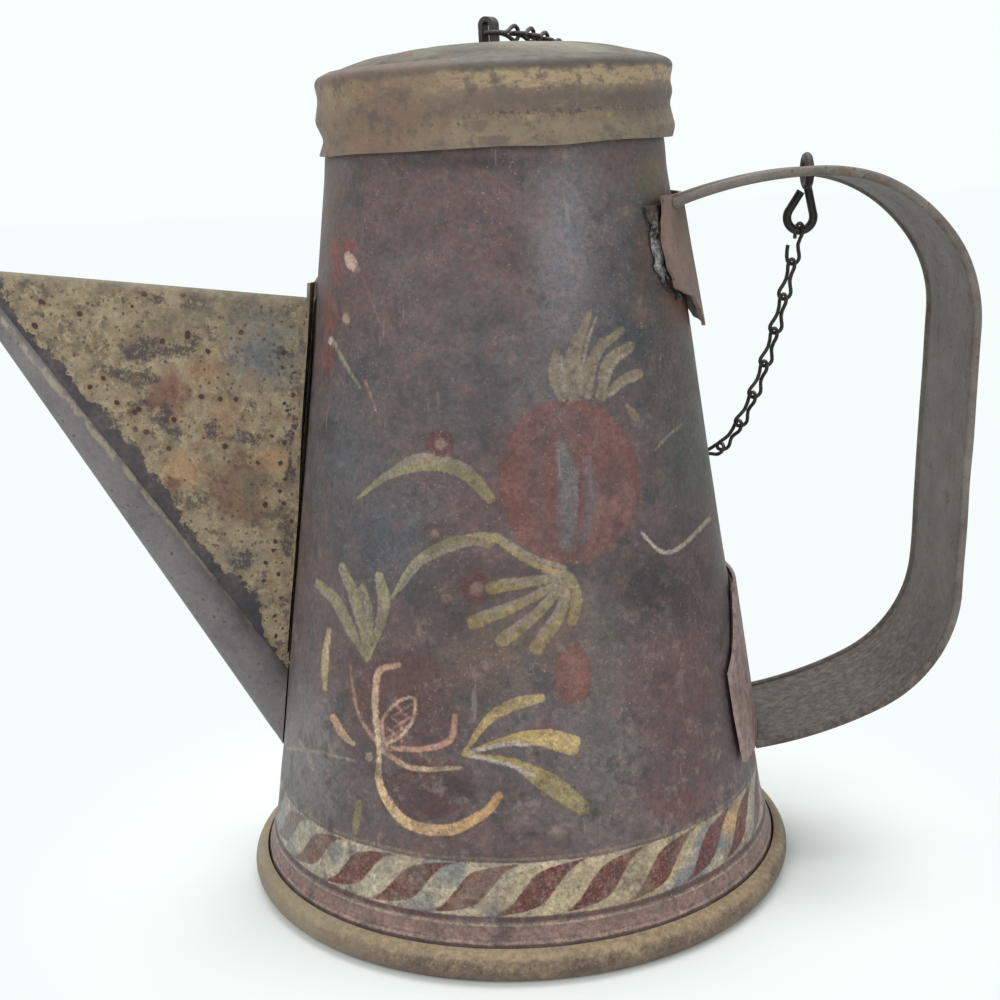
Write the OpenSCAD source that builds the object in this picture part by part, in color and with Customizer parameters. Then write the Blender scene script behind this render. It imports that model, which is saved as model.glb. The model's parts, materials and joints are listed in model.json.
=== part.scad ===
// Painted tin can: a tapered body on a rolled foot, a long spout braced by a folded web, a strap
// handle, and a loose cap held to the handle by a chain of figure-eight wire links.
// Millimetres, Z up. The body's axis is Z and the foot stands on z = 0. The spout points to -X and
// the handle to +X. Headings along the strap are angles in the XZ plane, from +X towards +Z.

/* [Body] */
// Height of the rolled mouth above the table
body_h = 216.5; // [205:0.5:260]
// Outer radius of the cone at table level, before the foot flares
foot_r = 71.4; // [66:0.5:86]
// Outer radius of the cone at the mouth
mouth_r = 41.35; // [37:0.5:50]
// Thickness of the tin sheet
sheet_t = 0.8; // [0.6:0.1:0.9]
// Height at which the cone starts to flare towards the foot
flare_z = 22; // [16:1:28]
// How far the flare stands out from the cone at its lower end
flare_out = 1.6; // [0.8:0.1:2.4]
// Width of the lapped seam up the back
seam_w = 5; // [4:0.5:8]

/* [Foot] */
// Outer radius of the rolled hoop's section
hoop_r = 4.3; // [4:0.1:4.8]
// Thickness of the hoop's sheet
hoop_t = 0.9; // [0.7:0.1:1]
// Depth worn flat where the hoop stands on the table
worn = 0.2; // [0.1:0.05:0.3]
// Height of the bottom plate's upper face
bottom_z = 6.6; // [6:0.1:8]

/* [Cap] */
// How far the cap's band stands out from the cone beside its lower edge
cap_over = 2; // [1.65:0.05:3.45]
// Height of the cap from its lower edge to its crown
cap_h = 25.8; // [24:0.2:30]
// Rise of the domed top from its edge to its crown
dome_rise = 6.7; // [5:0.1:9]
// Thickness of the cap's sheet
cap_t = 0.7; // [0.5:0.1:0.8]
// Angle by which the cap sits higher towards the handle
cap_tilt = 1; // [0:0.25:1.5]
// Height of the strip loop over the crown
loop_h = 6.6; // [6:0.2:9]

/* [Spout] */
// Angle of the spout above the level
spout_a = 58.6; // [56:0.2:61]
// Height at which the spout's axis starts, inside the body's wall
spout_z = 37.8; // [34:0.5:42]
// How far the spout's tip lies below the mouth
tip_drop = 26.8; // [15:0.2:32]
// Outer radius of the spout at its root
spout_r = 7.8; // [7.4:0.1:9]
// Outer radius of the spout at its tip
tip_r = 2.55; // [2.3:0.05:3.2]
// Thickness of the spout's sheet
spout_t = 0.6; // [0.5:0.1:0.7]

/* [Web] */
// How far the web's top edge lies below the mouth where it meets the body
web_drop = 57; // [52:0.5:66]
// Angle by which the web's top edge rises towards the spout
web_a = 7.1; // [4:0.5:9]
// Outer width of the folded web
web_w = 5.2; // [4.4:0.1:6]

/* [Handle] */
// Width of the strap over its rolled edges
strap_w = 43.5; // [38:0.5:53]
// Thickness of the strap
strap_t = 0.9; // [0.7:0.1:1.1]
// Radius of the strap's rolled edges
hem_r = 1.25; // [1.1:0.05:1.4]
// How far the strap's crest lies below the mouth
crest_drop = 27.1; // [24:0.1:34]
// Height of the strap's lower root
root_z = 37.8; // [34:0.5:42]
// Depth of the grip between the body and the centre of the strap's upper bend
grip = 35.9; // [30:0.5:42]

/* [Chain] */
// Diameter of the chain's wire
wire_d = 1.1; // [0.9:0.05:1.15]
// Centre-line length of one link
link_len = 11.4; // [11:0.1:12]
// Radius of a link's end, to the centre of its wire
link_r = 1.85; // [1.8:0.05:1.95]
// Radius of the wire of the handle's eye
eye_wire_r = 1.2; // [1:0.05:1.25]

/* [Hidden] */
$fn = 96;

// Gap between pieces soldered to each other, between a moving piece and the can, and the hair by
// which every second stretch of a bent wire or strip is thinner, so that its ends lie inside the next
gap = 0.1;
play = 0.3;
hair = 0.01;
lap = 0.4;

// Body
slope = (foot_r - mouth_r) / body_h;
skirt_z = 7.9;
skirt_r = cone_r(skirt_z) + flare_out;
skirt_end = 1.3;
rim_r = 1.2;
rim_wire_r = 0.5;
rim_c = [mouth_r + 0.8, body_h - rim_r];
shell_top = rim_c[1] - rim_r - gap;
flare_steps = 6;
seam_lo = flare_z + 2;
seam_t = 0.7;

// Foot
hoop_in = hoop_r - hoop_t;
hoop_c = [skirt_r - 0.2, hoop_r - worn];
hoop_lip = 80;
hoop_sweep = 230;
foot_wire_r = (hoop_c[0] + hoop_in - skirt_r - 4 * gap) / 2;
foot_wire_c = hoop_c[0] + hoop_in - 2 * gap - foot_wire_r;
flange_r = skirt_r - sheet_t - gap;
flange_end = skirt_end + 0.2;

// Cap, in its own frame: h is measured up from its lower edge
cap_r = mouth_r + slope * (cap_h - dome_rise - cap_t) + cap_over;
dome_r = cap_r - 0.4;
dome_p = 3.2;
fillet_r = 2.5;
flange_lo = 13.9;
band_top = 17.4;
band_in = cap_r - cap_t - gap;
bead = 0.35;
bead_pitch = 9.5;
bead_h = 3;
fillet_x = cap_r - fillet_r;
fillet_a = dome_a(fillet_x);
fillet_h = dome_h(fillet_x) - fillet_r / cos(fillet_a);
rim_under = dome_h(rim_c[0]) - cap_t;
cap_x = 0.4;
seat_r = rim_r + play + gap;
cap_z = rim_c[1] + seat_r / cos(dome_a(rim_c[0])) - rim_under + rim_c[0] * sin(cap_tilt);

// Loop on the crown
loop_x = -0.3;
loop_turn = -35;
loop_w = 3;
loop_t = 1.2;
loop_r = 2.25;
loop_mid = loop_r - loop_t / 2;
leg_h = loop_h - loop_r;

// Spout: its axis starts at spout_o and runs along spout_a
spout_o = -(cone_r(spout_z) - 6.46);
spout_len = (body_h - tip_drop - spout_z) / sin(spout_a);
spout_slope = (spout_r - tip_r) / spout_len;
feed_r = spout_r - 1.8;
tip_ring_r = 0.9;

// Web and its flanges
web_z = body_h - web_drop;
web_x = cone_r(web_z) - 8;
web_t = 0.8;
web_len = 110;
web_deep = 115;
fold_steps = 10;
flange_t = 0.8;
flange_off = 0.3;
flange_y = web_w / 2 + gap;
web_low = spout_z + 25;
web_tall = web_z - web_low;

// Strap: four bends and one straight, as [x, z] of a bend's centre, its radius, and headings
low_c = [cone_r(root_z + 41.8) + 22.1, root_z + 41.8];
low_r = 36;
low_a = 26;
top_r = 40;
crest_z = body_h - crest_drop;
top_c = [cone_r(crest_z) + grip, crest_z - top_r];
run = norm(top_c - low_c);
side_a = atan2(top_c[1] - low_c[1], top_c[0] - low_c[0]) + asin((low_r - top_r) / run);
root_r = 110;
root_c = low_c - (root_r - low_r) * [sin(low_a), -cos(low_a)];
root_a = 4;
tip_bend_r = 104;
tip_c = [top_c[0], crest_z - tip_bend_r];
tip_a = 205;
hem_y = strap_w / 2 - hem_r;
sheet_w = 2 * (hem_y - hem_r - 0.05);

// Plates under the strap's ends
plate_lo = root_z - 1;
plate_hi = root_z + 42.7;
plate_off = 0.9;
plate_t = 0.9;
tab_hi = crest_z - 4.6;
tab_lo = tab_hi - 34.3;
tab_off_lo = 2.6;
tab_off_hi = 1.6;

// Eye: a ring round the back hem through the hole, and a hook that hangs from it
ring_r = 3.95;
eye_x = top_c[0] + 4.7;
hem_z = top_c[1] + sqrt(pow(top_r, 2) - pow(eye_x - top_c[0], 2));
ring_z = hem_z - (ring_r - eye_wire_r - hem_r - play);
eye_y = hem_y - 0.2;
hole_r = 1.95;
hole_y = eye_y - sqrt(pow(ring_r, 2) - pow(hem_z - ring_z, 2));
hook_r = 3.65;
hook_c = [eye_x - 1.75, ring_z - 12.4];
hook_end = [eye_x - 1.6, ring_z - 5.4];
hook_root = [eye_x + 0.2, ring_z - ring_r];

// Chain
wire_r = wire_d / 2;
half_len = link_len / 2;
link_gap = 0.2;
pitch = link_len - wire_d - link_gap;
knot_r = wire_d;
knot_turn = [20, 30, 0];
eye_end_r = 2.15;
loop_end_r = 1.9;
loop_end_c = 6;
leg_at = 5.48;
clear = link_r + wire_r + gap;
turn_c = [0, 0, 0.7 * body_h];
twist_from = 8;
twist_links = 10;
wall_hi = body_h - 24;
wall_lo = wall_hi - 68;
wall_a = 58.5;
wall_turn = 11;
hang_steps = 24;
wall_steps = 10;
corner_a = 60;
corner_off = 3.8;
band_clear = 0.5;

// Where the first link's wire crosses the eye, and where the chain reaches the wall
hang_from = [hook_c[0], eye_y, hook_c[1] - hook_r - 0.2 + eye_end_r - wire_r - link_gap / 2];
hang_to = wall_point(wall_lo);
hang_a = hang_from + [-15, 6, -79];
hang_b = hang_to + [24, 3.5, -33];

// The link that turns the cap's shoulder, in the radial plane at wall_a
corner_n = [sin(corner_a), cos(corner_a)];
corner_t = [-cos(corner_a), sin(corner_a)];
corner_m = [fillet_x, fillet_h] + corner_off * corner_n;
corner_lo = corner_m - pitch / 2 * corner_t;
corner_hi = corner_m + pitch / 2 * corner_t;
shoulder_lo = cap_point(corner_lo[0], corner_lo[1], wall_a);
shoulder_hi = cap_point(corner_hi[0], corner_hi[1], wall_a);

// The last link lies through the loop on the crown, round its near leg
last_y = leg_at + pitch / 2;
last_plan = [
    loop_x + loop_mid * cos(loop_turn) - last_y * sin(loop_turn),
    loop_mid * sin(loop_turn) + last_y * cos(loop_turn)
];
last_from = in_cap_frame([last_plan[0], last_plan[1], lid_h(norm(last_plan))]);
last_way = in_cap_frame([last_plan[0] + sin(loop_turn), last_plan[1] - cos(loop_turn),
    lid_h(norm(last_plan))]) - last_from;

rise = concat(
    [for (i = [0 : hang_steps]) bezier(hang_from, hang_a, hang_b, hang_to, i / hang_steps)],
    [for (i = [1 : wall_steps]) wall_point(wall_lo + (wall_hi - wall_lo) * i / wall_steps)],
    [for (h = [-2, bead_h, 7]) cap_point(cap_r + bead + clear + band_clear, h, wall_a)],
    [shoulder_lo]
);
rise_n = ceil(path_len(rise) / pitch);
lid_n = ceil(norm(last_from - shoulder_hi) / pitch);
joints = concat(
    [for (i = [0 : rise_n]) path_at(rise, path_len(rise) * i / rise_n)],
    [for (i = [0 : lid_n]) lid_point(i / lid_n)],
    [last_from + pitch * last_way]
);
chain_n = len(joints) - 1;

LINKS = [for (i = [1 : chain_n]) str("chain_link_", i < 10 ? "0" : "", i)];

// Shape of the body and the cap

function cone_r(z) = foot_r - slope * z;

function flare_r(z) = cone_r(z) + flare_out * pow((flare_z - z) / (flare_z - skirt_z), 2);

function dome_h(r) = cap_h - dome_rise * pow(r / dome_r, dome_p);

function dome_a(r) = atan(dome_rise * dome_p / dome_r * pow(r / dome_r, dome_p - 1));

function band_r(h) = cap_r - 0.1 + bead * cos(360 * (h - bead_h) / bead_pitch);

function in_cap_frame(p) = [
    cap_x + p[0] * cos(cap_tilt) - p[2] * sin(cap_tilt),
    p[1],
    cap_z + p[0] * sin(cap_tilt) + p[2] * cos(cap_tilt)
];

function cap_point(r, h, a) = in_cap_frame([r * cos(a), r * sin(a), h]);

function tab_off(z) = tab_off_lo + (tab_off_hi - tab_off_lo) * (z - tab_lo) / (tab_hi - tab_lo);

// Course of the chain

function bezier(a, b, c, d, t) =
    pow(1 - t, 3) * a + 3 * pow(1 - t, 2) * t * b + 3 * (1 - t) * t * t * c + pow(t, 3) * d;

function wall_angle(z) = wall_a - wall_turn * pow(max(0, 1 - (z - wall_lo + 22) / 95), 1.8);

function wall_point(z) =
    let (r = cone_r(z) + clear)
    [r * cos(wall_angle(z)), r * sin(wall_angle(z)), z];

function lid_h(r) = dome_h(r) + clear + gap;

function lid_point(t) =
    let (
        p = shoulder_hi + t * (last_from - shoulder_hi),
        r = norm([p[0] - cap_x, p[1]]),
        h = cap_z + lid_h(r) + p[0] * sin(cap_tilt)
    )
    t == 0 || t == 1 ? p : [p[0], p[1], h];

function path_len(p, i = 0) = i >= len(p) - 1 ? 0 : norm(p[i + 1] - p[i]) + path_len(p, i + 1);

function path_at(p, d, i = 0) =
    let (s = norm(p[i + 1] - p[i]))
    d <= s || i == len(p) - 2 ? p[i] + min(1, d / s) * (p[i + 1] - p[i]) : path_at(p, d - s, i + 1);

function unit(v) = v / norm(v);

function square_to(v, t) = unit(v - (v * t) * t);

// Body

module body_solid(off) {
    cylinder(h = body_h, r1 = foot_r + off, r2 = mouth_r + off);
}

module cone_shell(lo, hi, a_lo, a_hi, t) {
    rotate_extrude()
        polygon([
            [cone_r(lo) + a_lo, lo],
            [cone_r(lo) + a_lo + t, lo],
            [cone_r(hi) + a_hi + t, hi],
            [cone_r(hi) + a_hi, hi]
        ]);
}

module body_shell() {
    flare = [
        for (i = [0 : flare_steps])
        let (z = skirt_z + (flare_z - skirt_z) * i / flare_steps)
        [flare_r(z), z]
    ];
    outer = concat([[skirt_r, skirt_end]], flare, [[cone_r(shell_top), shell_top]]);
    inner = [for (i = [len(outer) - 1 : -1 : 0]) outer[i] - [sheet_t, 0]];
    color("SaddleBrown")
        difference() {
            rotate_extrude() polygon(concat(outer, inner));
            on_spout(-12) cylinder(h = 40, r = feed_r);
        }
}

module side_seam() {
    color("SaddleBrown")
        intersection() {
            cone_shell(seam_lo, cap_z - 4, gap, gap, seam_t);
            translate([-seam_w / 2, 0, 0]) cube([seam_w, 2 * foot_r, body_h]);
        }
}

module mouth_rim() {
    color("DimGray")
        rotate_extrude()
            difference() {
                translate(rim_c) circle(rim_r);
                translate(rim_c) circle(rim_wire_r + gap);
                translate(rim_c + [-rim_r, -0.3]) square([rim_r, 0.4]);
            }
}

module mouth_wire() {
    color("DimGray")
        rotate_extrude() translate(rim_c) circle(rim_wire_r);
}

module bottom_plate() {
    color("DimGray")
        rotate_extrude()
            polygon([
                [0, bottom_z],
                [flange_r, bottom_z],
                [flange_r, flange_end],
                [flange_r - sheet_t, flange_end],
                [flange_r - sheet_t, bottom_z - sheet_t],
                [0, bottom_z - sheet_t]
            ]);
}

module foot_ring() {
    far = 2 * hoop_r;
    open_a = hoop_lip + (360 - hoop_sweep) / 2;
    opening = [for (i = [-1 : 1]) far * [cos(open_a + 65 * i), sin(open_a + 65 * i)]];
    color("Sienna")
        rotate_extrude()
            difference() {
                translate(hoop_c) circle(hoop_r);
                translate(hoop_c) circle(hoop_in);
                translate(hoop_c) polygon(concat([[0, 0]], opening));
                translate([hoop_c[0] - far, -far]) square([2 * far, far]);
            }
}

module foot_wire() {
    color("DimGray")
        rotate_extrude() translate([foot_wire_c, hoop_c[1]]) circle(foot_wire_r);
}

// Spout

module on_spout(s) {
    translate([spout_o - s * cos(spout_a), 0, spout_z + s * sin(spout_a)])
        rotate([0, spout_a - 90, 0])
            children();
}

module spout_solid(off, extra) {
    on_spout(0)
        cylinder(
            h = spout_len + extra,
            r1 = spout_r + off,
            r2 = tip_r + off - extra * spout_slope
        );
}

module spout_tube() {
    color("DimGray")
        difference() {
            spout_solid(0, 0);
            on_spout(-1)
                cylinder(
                    h = spout_len + 2,
                    r1 = spout_r - spout_t + spout_slope,
                    r2 = tip_r - spout_t - spout_slope
                );
            body_solid(gap);
        }
}

module spout_tip_ring() {
    color("DimGray")
        on_spout(spout_len + tip_ring_r + gap / 2)
            rotate_extrude() translate([tip_r, 0]) circle(tip_ring_r);
}

module fold_profile(half) {
    arc = [for (i = [0 : fold_steps]) half * [cos(180 * i / fold_steps), sin(180 * i / fold_steps)]];
    polygon(concat([[half, -web_deep]], arc, [[-half, -web_deep]]));
}

module gusset_web() {
    half = web_w / 2;
    color("Tan")
        difference() {
            translate([-web_x, 0, web_z - half])
                rotate([0, web_a, 0])
                    rotate([90, 0, -90])
                        linear_extrude(height = web_len)
                            difference() {
                                fold_profile(half);
                                fold_profile(half - web_t);
                            }
            body_solid(gap);
            spout_solid(gap, 1);
            on_spout(-80)
                translate([-400, -half - 1, 0])
                    cube([400, web_w + 2, spout_len + 200]);
        }
}

module gusset_flange(side) {
    outline = [
        [flange_y, -2],
        [26, 3],
        [24, 22],
        [22, 47],
        [20, web_tall - 20],
        [18, web_tall - 6],
        [14, web_tall + 4],
        [9, web_tall + 6.5],
        [flange_y, web_tall + 5]
    ];
    color("Tan")
        difference() {
            intersection() {
                cone_shell(web_low - 6, web_z + 10, flange_off, flange_off, flange_t);
                translate([0, 0, web_low])
                    rotate([90, 0, -90])
                        linear_extrude(height = 2 * foot_r)
                            polygon([for (p = outline) [side * p[0], p[1]]]);
            }
            spout_solid(gap, 0);
        }
}

module gusset_flange_front() {
    gusset_flange(1);
}

module gusset_flange_back() {
    gusset_flange(-1);
}

// Handle

module bend(c, r, from, to) {
    translate([c[0], 0, c[1]])
        rotate([90, 0, 0])
            rotate_extrude(angle = to - from, start = from - 90)
                translate([r, 0])
                    children();
}

module along_strap() {
    side_n = [sin(side_a), -cos(side_a)];
    side_hi = top_c + top_r * side_n;
    side_len = sqrt(pow(run, 2) - pow(low_r - top_r, 2));
    lap_root = 180 * lap / (PI * root_r);
    lap_tip = 180 * lap / (PI * tip_bend_r);
    bend(low_c, low_r, low_a, side_a) children(0);
    bend(top_c, top_r, side_a, 180) children(0);
    bend(root_c, root_r, root_a, low_a + lap_root) children(1);
    bend(tip_c, tip_bend_r, 180 - lap_tip, tip_a) children(1);
    translate([side_hi[0], 0, side_hi[1]])
        rotate([180, 90 - side_a, 0])
            translate([0, 0, -lap])
                linear_extrude(height = side_len + 2 * lap)
                    children(1);
}

module coped() {
    difference() {
        children();
        body_solid(plate_off + plate_t + gap);
        tab_solid();
    }
}

module tab_solid() {
    over = plate_t + gap;
    far = tab_hi + 10;
    translate([0, 0, tab_lo])
        cylinder(
            h = far - tab_lo,
            r1 = cone_r(tab_lo) + tab_off(tab_lo) + over,
            r2 = cone_r(far) + tab_off(far) + over
        );
}

module handle_strap() {
    color("DimGray")
        difference() {
            coped()
                along_strap() {
                    square([strap_t, sheet_w], center = true);
                    square([strap_t - 2 * hair, sheet_w - 2 * hair], center = true);
                }
            translate([eye_x, hole_y, hem_z - 2]) cylinder(h = 4, r = hole_r);
        }
}

module handle_hem(y) {
    color("DimGray")
        coped()
            along_strap() {
                translate([0, -y]) circle(hem_r);
                translate([0, -y]) circle(hem_r - hair);
            }
}

module handle_hem_front() {
    handle_hem(-hem_y);
}

module handle_hem_back() {
    handle_hem(hem_y);
}

module on_handle_side(depth) {
    translate([depth, 0, 0])
        rotate([90, 0, 90])
            linear_extrude(height = 2 * foot_r)
                children();
}

module upper_tab() {
    color("Sienna")
        intersection() {
            cone_shell(tab_lo, tab_hi, tab_off_lo, tab_off_hi, plate_t);
            on_handle_side(15)
                polygon([
                    [-6, tab_lo], [6, tab_lo], [13, tab_lo + 6], [20, tab_lo + 7],
                    [25, tab_lo + 10], [27.5, tab_lo + 13.5], [29, tab_lo + 19.5],
                    [29, tab_lo + 26], [27, tab_lo + 31.5], [20, tab_hi], [-20, tab_hi],
                    [-27, tab_lo + 31.5], [-29, tab_lo + 26], [-29, tab_lo + 19.5],
                    [-27.5, tab_lo + 13.5], [-25, tab_lo + 10], [-20, tab_lo + 7],
                    [-13, tab_lo + 6]
                ]);
        }
}

module upper_tab_solder() {
    lo = tab_lo + 12;
    hi = tab_hi - 3;
    color("Silver")
        intersection() {
            difference() {
                cone_shell(lo, hi, 0, 0, tab_off(lo) - gap);
                body_solid(gap);
                solder_room(lo, hi);
            }
            on_handle_side(15)
                polygon([[-20, lo], [20, lo], [25, lo + 6], [25, hi], [-26, hi], [-26, lo + 8]]);
        }
}

module solder_room(lo, hi) {
    rotate_extrude()
        polygon([
            [cone_r(lo) + tab_off(lo) - gap, lo],
            [cone_r(lo) + tab_off(lo) + 1, lo],
            [cone_r(hi) + tab_off(hi) + 1, hi],
            [cone_r(hi) + tab_off(hi) - gap, hi]
        ]);
}

module lower_plate() {
    color("Sienna")
        intersection() {
            cone_shell(plate_lo, plate_hi, plate_off, plate_off, plate_t);
            on_handle_side(20)
                polygon([
                    [-31.5, plate_lo], [31.5, plate_lo], [32, plate_lo + 14],
                    [31.5, plate_lo + 25], [25, plate_lo + 30], [21, plate_lo + 36],
                    [16, plate_hi], [-16, plate_hi], [-21, plate_lo + 36],
                    [-25, plate_lo + 30], [-31.5, plate_lo + 25], [-32, plate_lo + 14]
                ]);
        }
}

module lower_plate_solder() {
    lo = plate_lo + 1.5;
    hi = plate_hi - 1.5;
    color("Silver")
        intersection() {
            cone_shell(lo, hi, gap, gap, plate_off - 2 * gap);
            on_handle_side(20)
                polygon([[-29, lo], [29, lo], [29, lo + 20], [14, hi], [-14, hi], [-29, lo + 20]]);
        }
}

// Eye

module wire_between(a, b, r) {
    v = b - a;
    translate([a[0], 0, a[1]])
        rotate([0, atan2(v[0], v[1]), 0])
            cylinder(h = norm(v), r = r);
}

module handle_eye() {
    root_v = hook_root - hook_c;
    end_v = hook_end - hook_c;
    root_turn = atan2(root_v[1], root_v[0]) - acos(hook_r / norm(root_v));
    end_turn = atan2(end_v[1], end_v[0]) + acos(hook_r / norm(end_v));
    root_at = hook_c + hook_r * [cos(root_turn), sin(root_turn)]
        - lap * unit(root_v - hook_r * [cos(root_turn), sin(root_turn)]);
    end_at = hook_c + hook_r * [cos(end_turn), sin(end_turn)]
        - lap * unit(end_v - hook_r * [cos(end_turn), sin(end_turn)]);
    color("DarkSlateGray")
        translate([0, eye_y, 0]) {
            translate([eye_x, 0, ring_z])
                rotate([0, 90, 0])
                    rotate_extrude() translate([ring_r, 0]) circle(eye_wire_r);
            translate([hook_c[0], 0, hook_c[1]])
                rotate([90, 0, 0])
                    rotate_extrude(angle = 360 + root_turn - end_turn, start = end_turn)
                        translate([hook_r, 0])
                            circle(eye_wire_r);
            wire_between(root_at, hook_root, eye_wire_r - 4 * hair);
            wire_between(end_at, hook_end, eye_wire_r - 4 * hair);
        }
}

// Cap

module in_cap() {
    translate([cap_x, 0, cap_z])
        rotate([0, -cap_tilt, 0])
            children();
}

module cap_band() {
    outer = [for (h = [0 : 13]) [band_r(h), h]];
    lower = [for (i = [13 : -1 : 0]) outer[i] - [cap_t, 0]];
    neck = [
        [band_in, 13.4],
        [band_in, band_top],
        [band_in - cap_t, band_top],
        [band_in - cap_t, 13.4]
    ];
    color("Peru")
        in_cap()
            rotate_extrude() polygon(concat(outer, neck, lower));
}

function cap_curve(off) = concat(
    [[cap_r - off, flange_lo]],
    [
        for (a = [0 : 11 : 90 - fillet_a])
        [fillet_x, fillet_h] + (fillet_r - off) * [cos(a), sin(a)]
    ],
    [
        for (i = [15 : -1 : 0])
        let (r = i / 15 * (fillet_x + fillet_r * sin(fillet_a)), a = dome_a(r))
        [r - off * sin(a), dome_h(r) - off * cos(a)]
    ]
);

module cap_top() {
    outer = cap_curve(0);
    inner = cap_curve(cap_t);
    color("Olive")
        in_cap()
            rotate_extrude()
                polygon(concat(outer, [for (i = [len(inner) - 1 : -1 : 0]) inner[i]]));
}

module cap_loop() {
    foot = gap / 2;
    color("DimGray")
        in_cap()
            translate([loop_x, 0, cap_h])
                rotate([0, 0, loop_turn]) {
                    translate([0, 0, leg_h])
                        rotate([90, 0, 0])
                            rotate_extrude(angle = 180)
                                translate([loop_mid, 0])
                                    square([loop_t, loop_w], center = true);
                    for (side = [-1, 1])
                        translate([
                            side * loop_mid - loop_t / 2 + hair,
                            -loop_w / 2 + hair,
                            foot
                        ])
                            cube([loop_t - 2 * hair, loop_w - 2 * hair, leg_h - foot + lap]);
                }
}

// Chain

module link_end(r, c) {
    a = asin(r / c);
    start = 0.8 * knot_r;
    translate([0, 0, c])
        rotate([90, 0, 0])
            rotate_extrude(angle = 180 + 2 * a, start = -a)
                translate([r, 0])
                    circle(wire_r);
    for (side = [-1, 1])
        rotate([0, side * a, 0])
            translate([0, 0, start])
                cylinder(h = sqrt(c * c - r * r) + 0.1 - start, r = wire_r - hair);
}

module link_shape(first_r, first_c, end_r, end_c) {
    color("DarkSlateGray")
        union() {
            rotate(knot_turn) sphere(knot_r);
            link_end(end_r, end_c);
            rotate([180, 0, 90]) link_end(first_r, first_c);
        }
}

module chain_link(i) {
    from = joints[i - 1];
    to = joints[i];
    mid = (from + to) / 2;
    t = unit(to - from);
    out = square_to(mid - turn_c, t);
    roll = 90 * min(1, max(0, (i - twist_from) / twist_links));
    x = out * cos(roll) + cross(t, out) * sin(roll);
    y = cross(t, x);
    first_r = i == 1 ? eye_end_r : link_r;
    end_r = i == chain_n ? loop_end_r : link_r;
    end_c = i == chain_n ? loop_end_c : half_len - link_r;
    multmatrix([
        [x[0], y[0], t[0], mid[0]],
        [x[1], y[1], t[1], mid[1]],
        [x[2], y[2], t[2], mid[2]],
        [0, 0, 0, 1]
    ])
        link_shape(first_r, half_len - first_r, end_r, end_c);
}

body_shell();
side_seam();
mouth_rim();
mouth_wire();
bottom_plate();
foot_ring();
foot_wire();
spout_tube();
spout_tip_ring();
gusset_web();
gusset_flange_front();
gusset_flange_back();
handle_strap();
handle_hem_front();
handle_hem_back();
upper_tab();
upper_tab_solder();
lower_plate();
lower_plate_solder();
handle_eye();
cap_band();
cap_top();
cap_loop();
for (i = [1 : chain_n]) {
    chain_link(i);
}
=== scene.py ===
"""Looks of the painted tin can: replacement meshes, ornament, materials, camera and light."""
import json
import math

import bmesh
import bpy
import numpy as np
from mathutils import Matrix, Vector


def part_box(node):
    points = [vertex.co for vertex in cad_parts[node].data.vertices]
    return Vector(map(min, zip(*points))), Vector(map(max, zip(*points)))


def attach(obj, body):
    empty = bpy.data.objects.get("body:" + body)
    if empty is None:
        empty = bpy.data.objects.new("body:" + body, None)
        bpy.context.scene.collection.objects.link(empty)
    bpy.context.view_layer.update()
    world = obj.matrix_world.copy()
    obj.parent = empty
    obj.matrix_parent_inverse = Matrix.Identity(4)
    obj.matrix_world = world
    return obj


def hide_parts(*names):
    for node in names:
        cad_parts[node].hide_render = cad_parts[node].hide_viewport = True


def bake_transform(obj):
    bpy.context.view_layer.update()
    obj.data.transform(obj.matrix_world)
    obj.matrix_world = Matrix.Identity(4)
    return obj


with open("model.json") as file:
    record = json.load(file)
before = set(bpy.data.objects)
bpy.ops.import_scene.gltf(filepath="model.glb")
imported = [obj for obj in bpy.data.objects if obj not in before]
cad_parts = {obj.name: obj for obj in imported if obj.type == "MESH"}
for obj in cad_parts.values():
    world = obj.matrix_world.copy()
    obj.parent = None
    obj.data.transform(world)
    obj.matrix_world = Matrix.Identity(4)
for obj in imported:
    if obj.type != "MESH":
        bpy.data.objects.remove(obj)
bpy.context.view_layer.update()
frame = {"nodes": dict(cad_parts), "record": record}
nodes = frame["nodes"]
MM = 0.001

# Sizes of the object, in millimetres, as in its construction
BODY_H, FOOT_R, MOUTH_R, SHEET = 216.5, 71.4, 41.35, 0.8
SLOPE = (FOOT_R - MOUTH_R) / BODY_H
FLARE_Z, FLARE_OUT, SKIRT_Z, SKIRT_END, SHELL_TOP = 22.0, 1.6, 7.9, 1.3, 214.0
CAP_R, CAP_H, DOME_RISE, DOME_P, CAP_SHEET, CAP_TILT = 45.9, 25.8, 6.7, 3.2, 0.7, 1.0
BAND_TOP, FILLET = 17.4, 2.5
DOME_R, RIM_R, RIM_Z = CAP_R - 0.4, MOUTH_R + 0.8, BODY_H - 1.2
# The cap stands a little off the axis, its dome's underside this far from the middle of the mouth's roll
CAP_SHIFT, CAP_SEAT = 0.4, 1.6
WIRE_R = 0.55
FEED_Z, FEED_IN, FEED_R, SPOUT_LEAN = 37.8, 6.46, 6.0, math.radians(58.6)

# Camera, fitted to the photograph
CAM_AT = np.array([-2.2, -401.3, 200.6])
FOCAL_PX, PITCH, ROLL, HALF_PX = 1500.0, math.radians(13.64), math.radians(-2.24), 500.0
CAM_W = np.array([0, math.cos(PITCH), -math.sin(PITCH)])
level_up = np.array([0, math.sin(PITCH), math.cos(PITCH)])
CAM_R = math.cos(ROLL) * np.array([1.0, 0, 0]) + math.sin(ROLL) * level_up
CAM_U = -math.sin(ROLL) * np.array([1.0, 0, 0]) + math.cos(ROLL) * level_up


def to_pixels(points):
    """Where points in millimetres lie in the photograph's frame."""
    d = points - CAM_AT
    depth = d @ CAM_W
    return np.column_stack([
        HALF_PX + FOCAL_PX * (d @ CAM_R) / depth, HALF_PX - FOCAL_PX * (d @ CAM_U) / depth])


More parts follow.
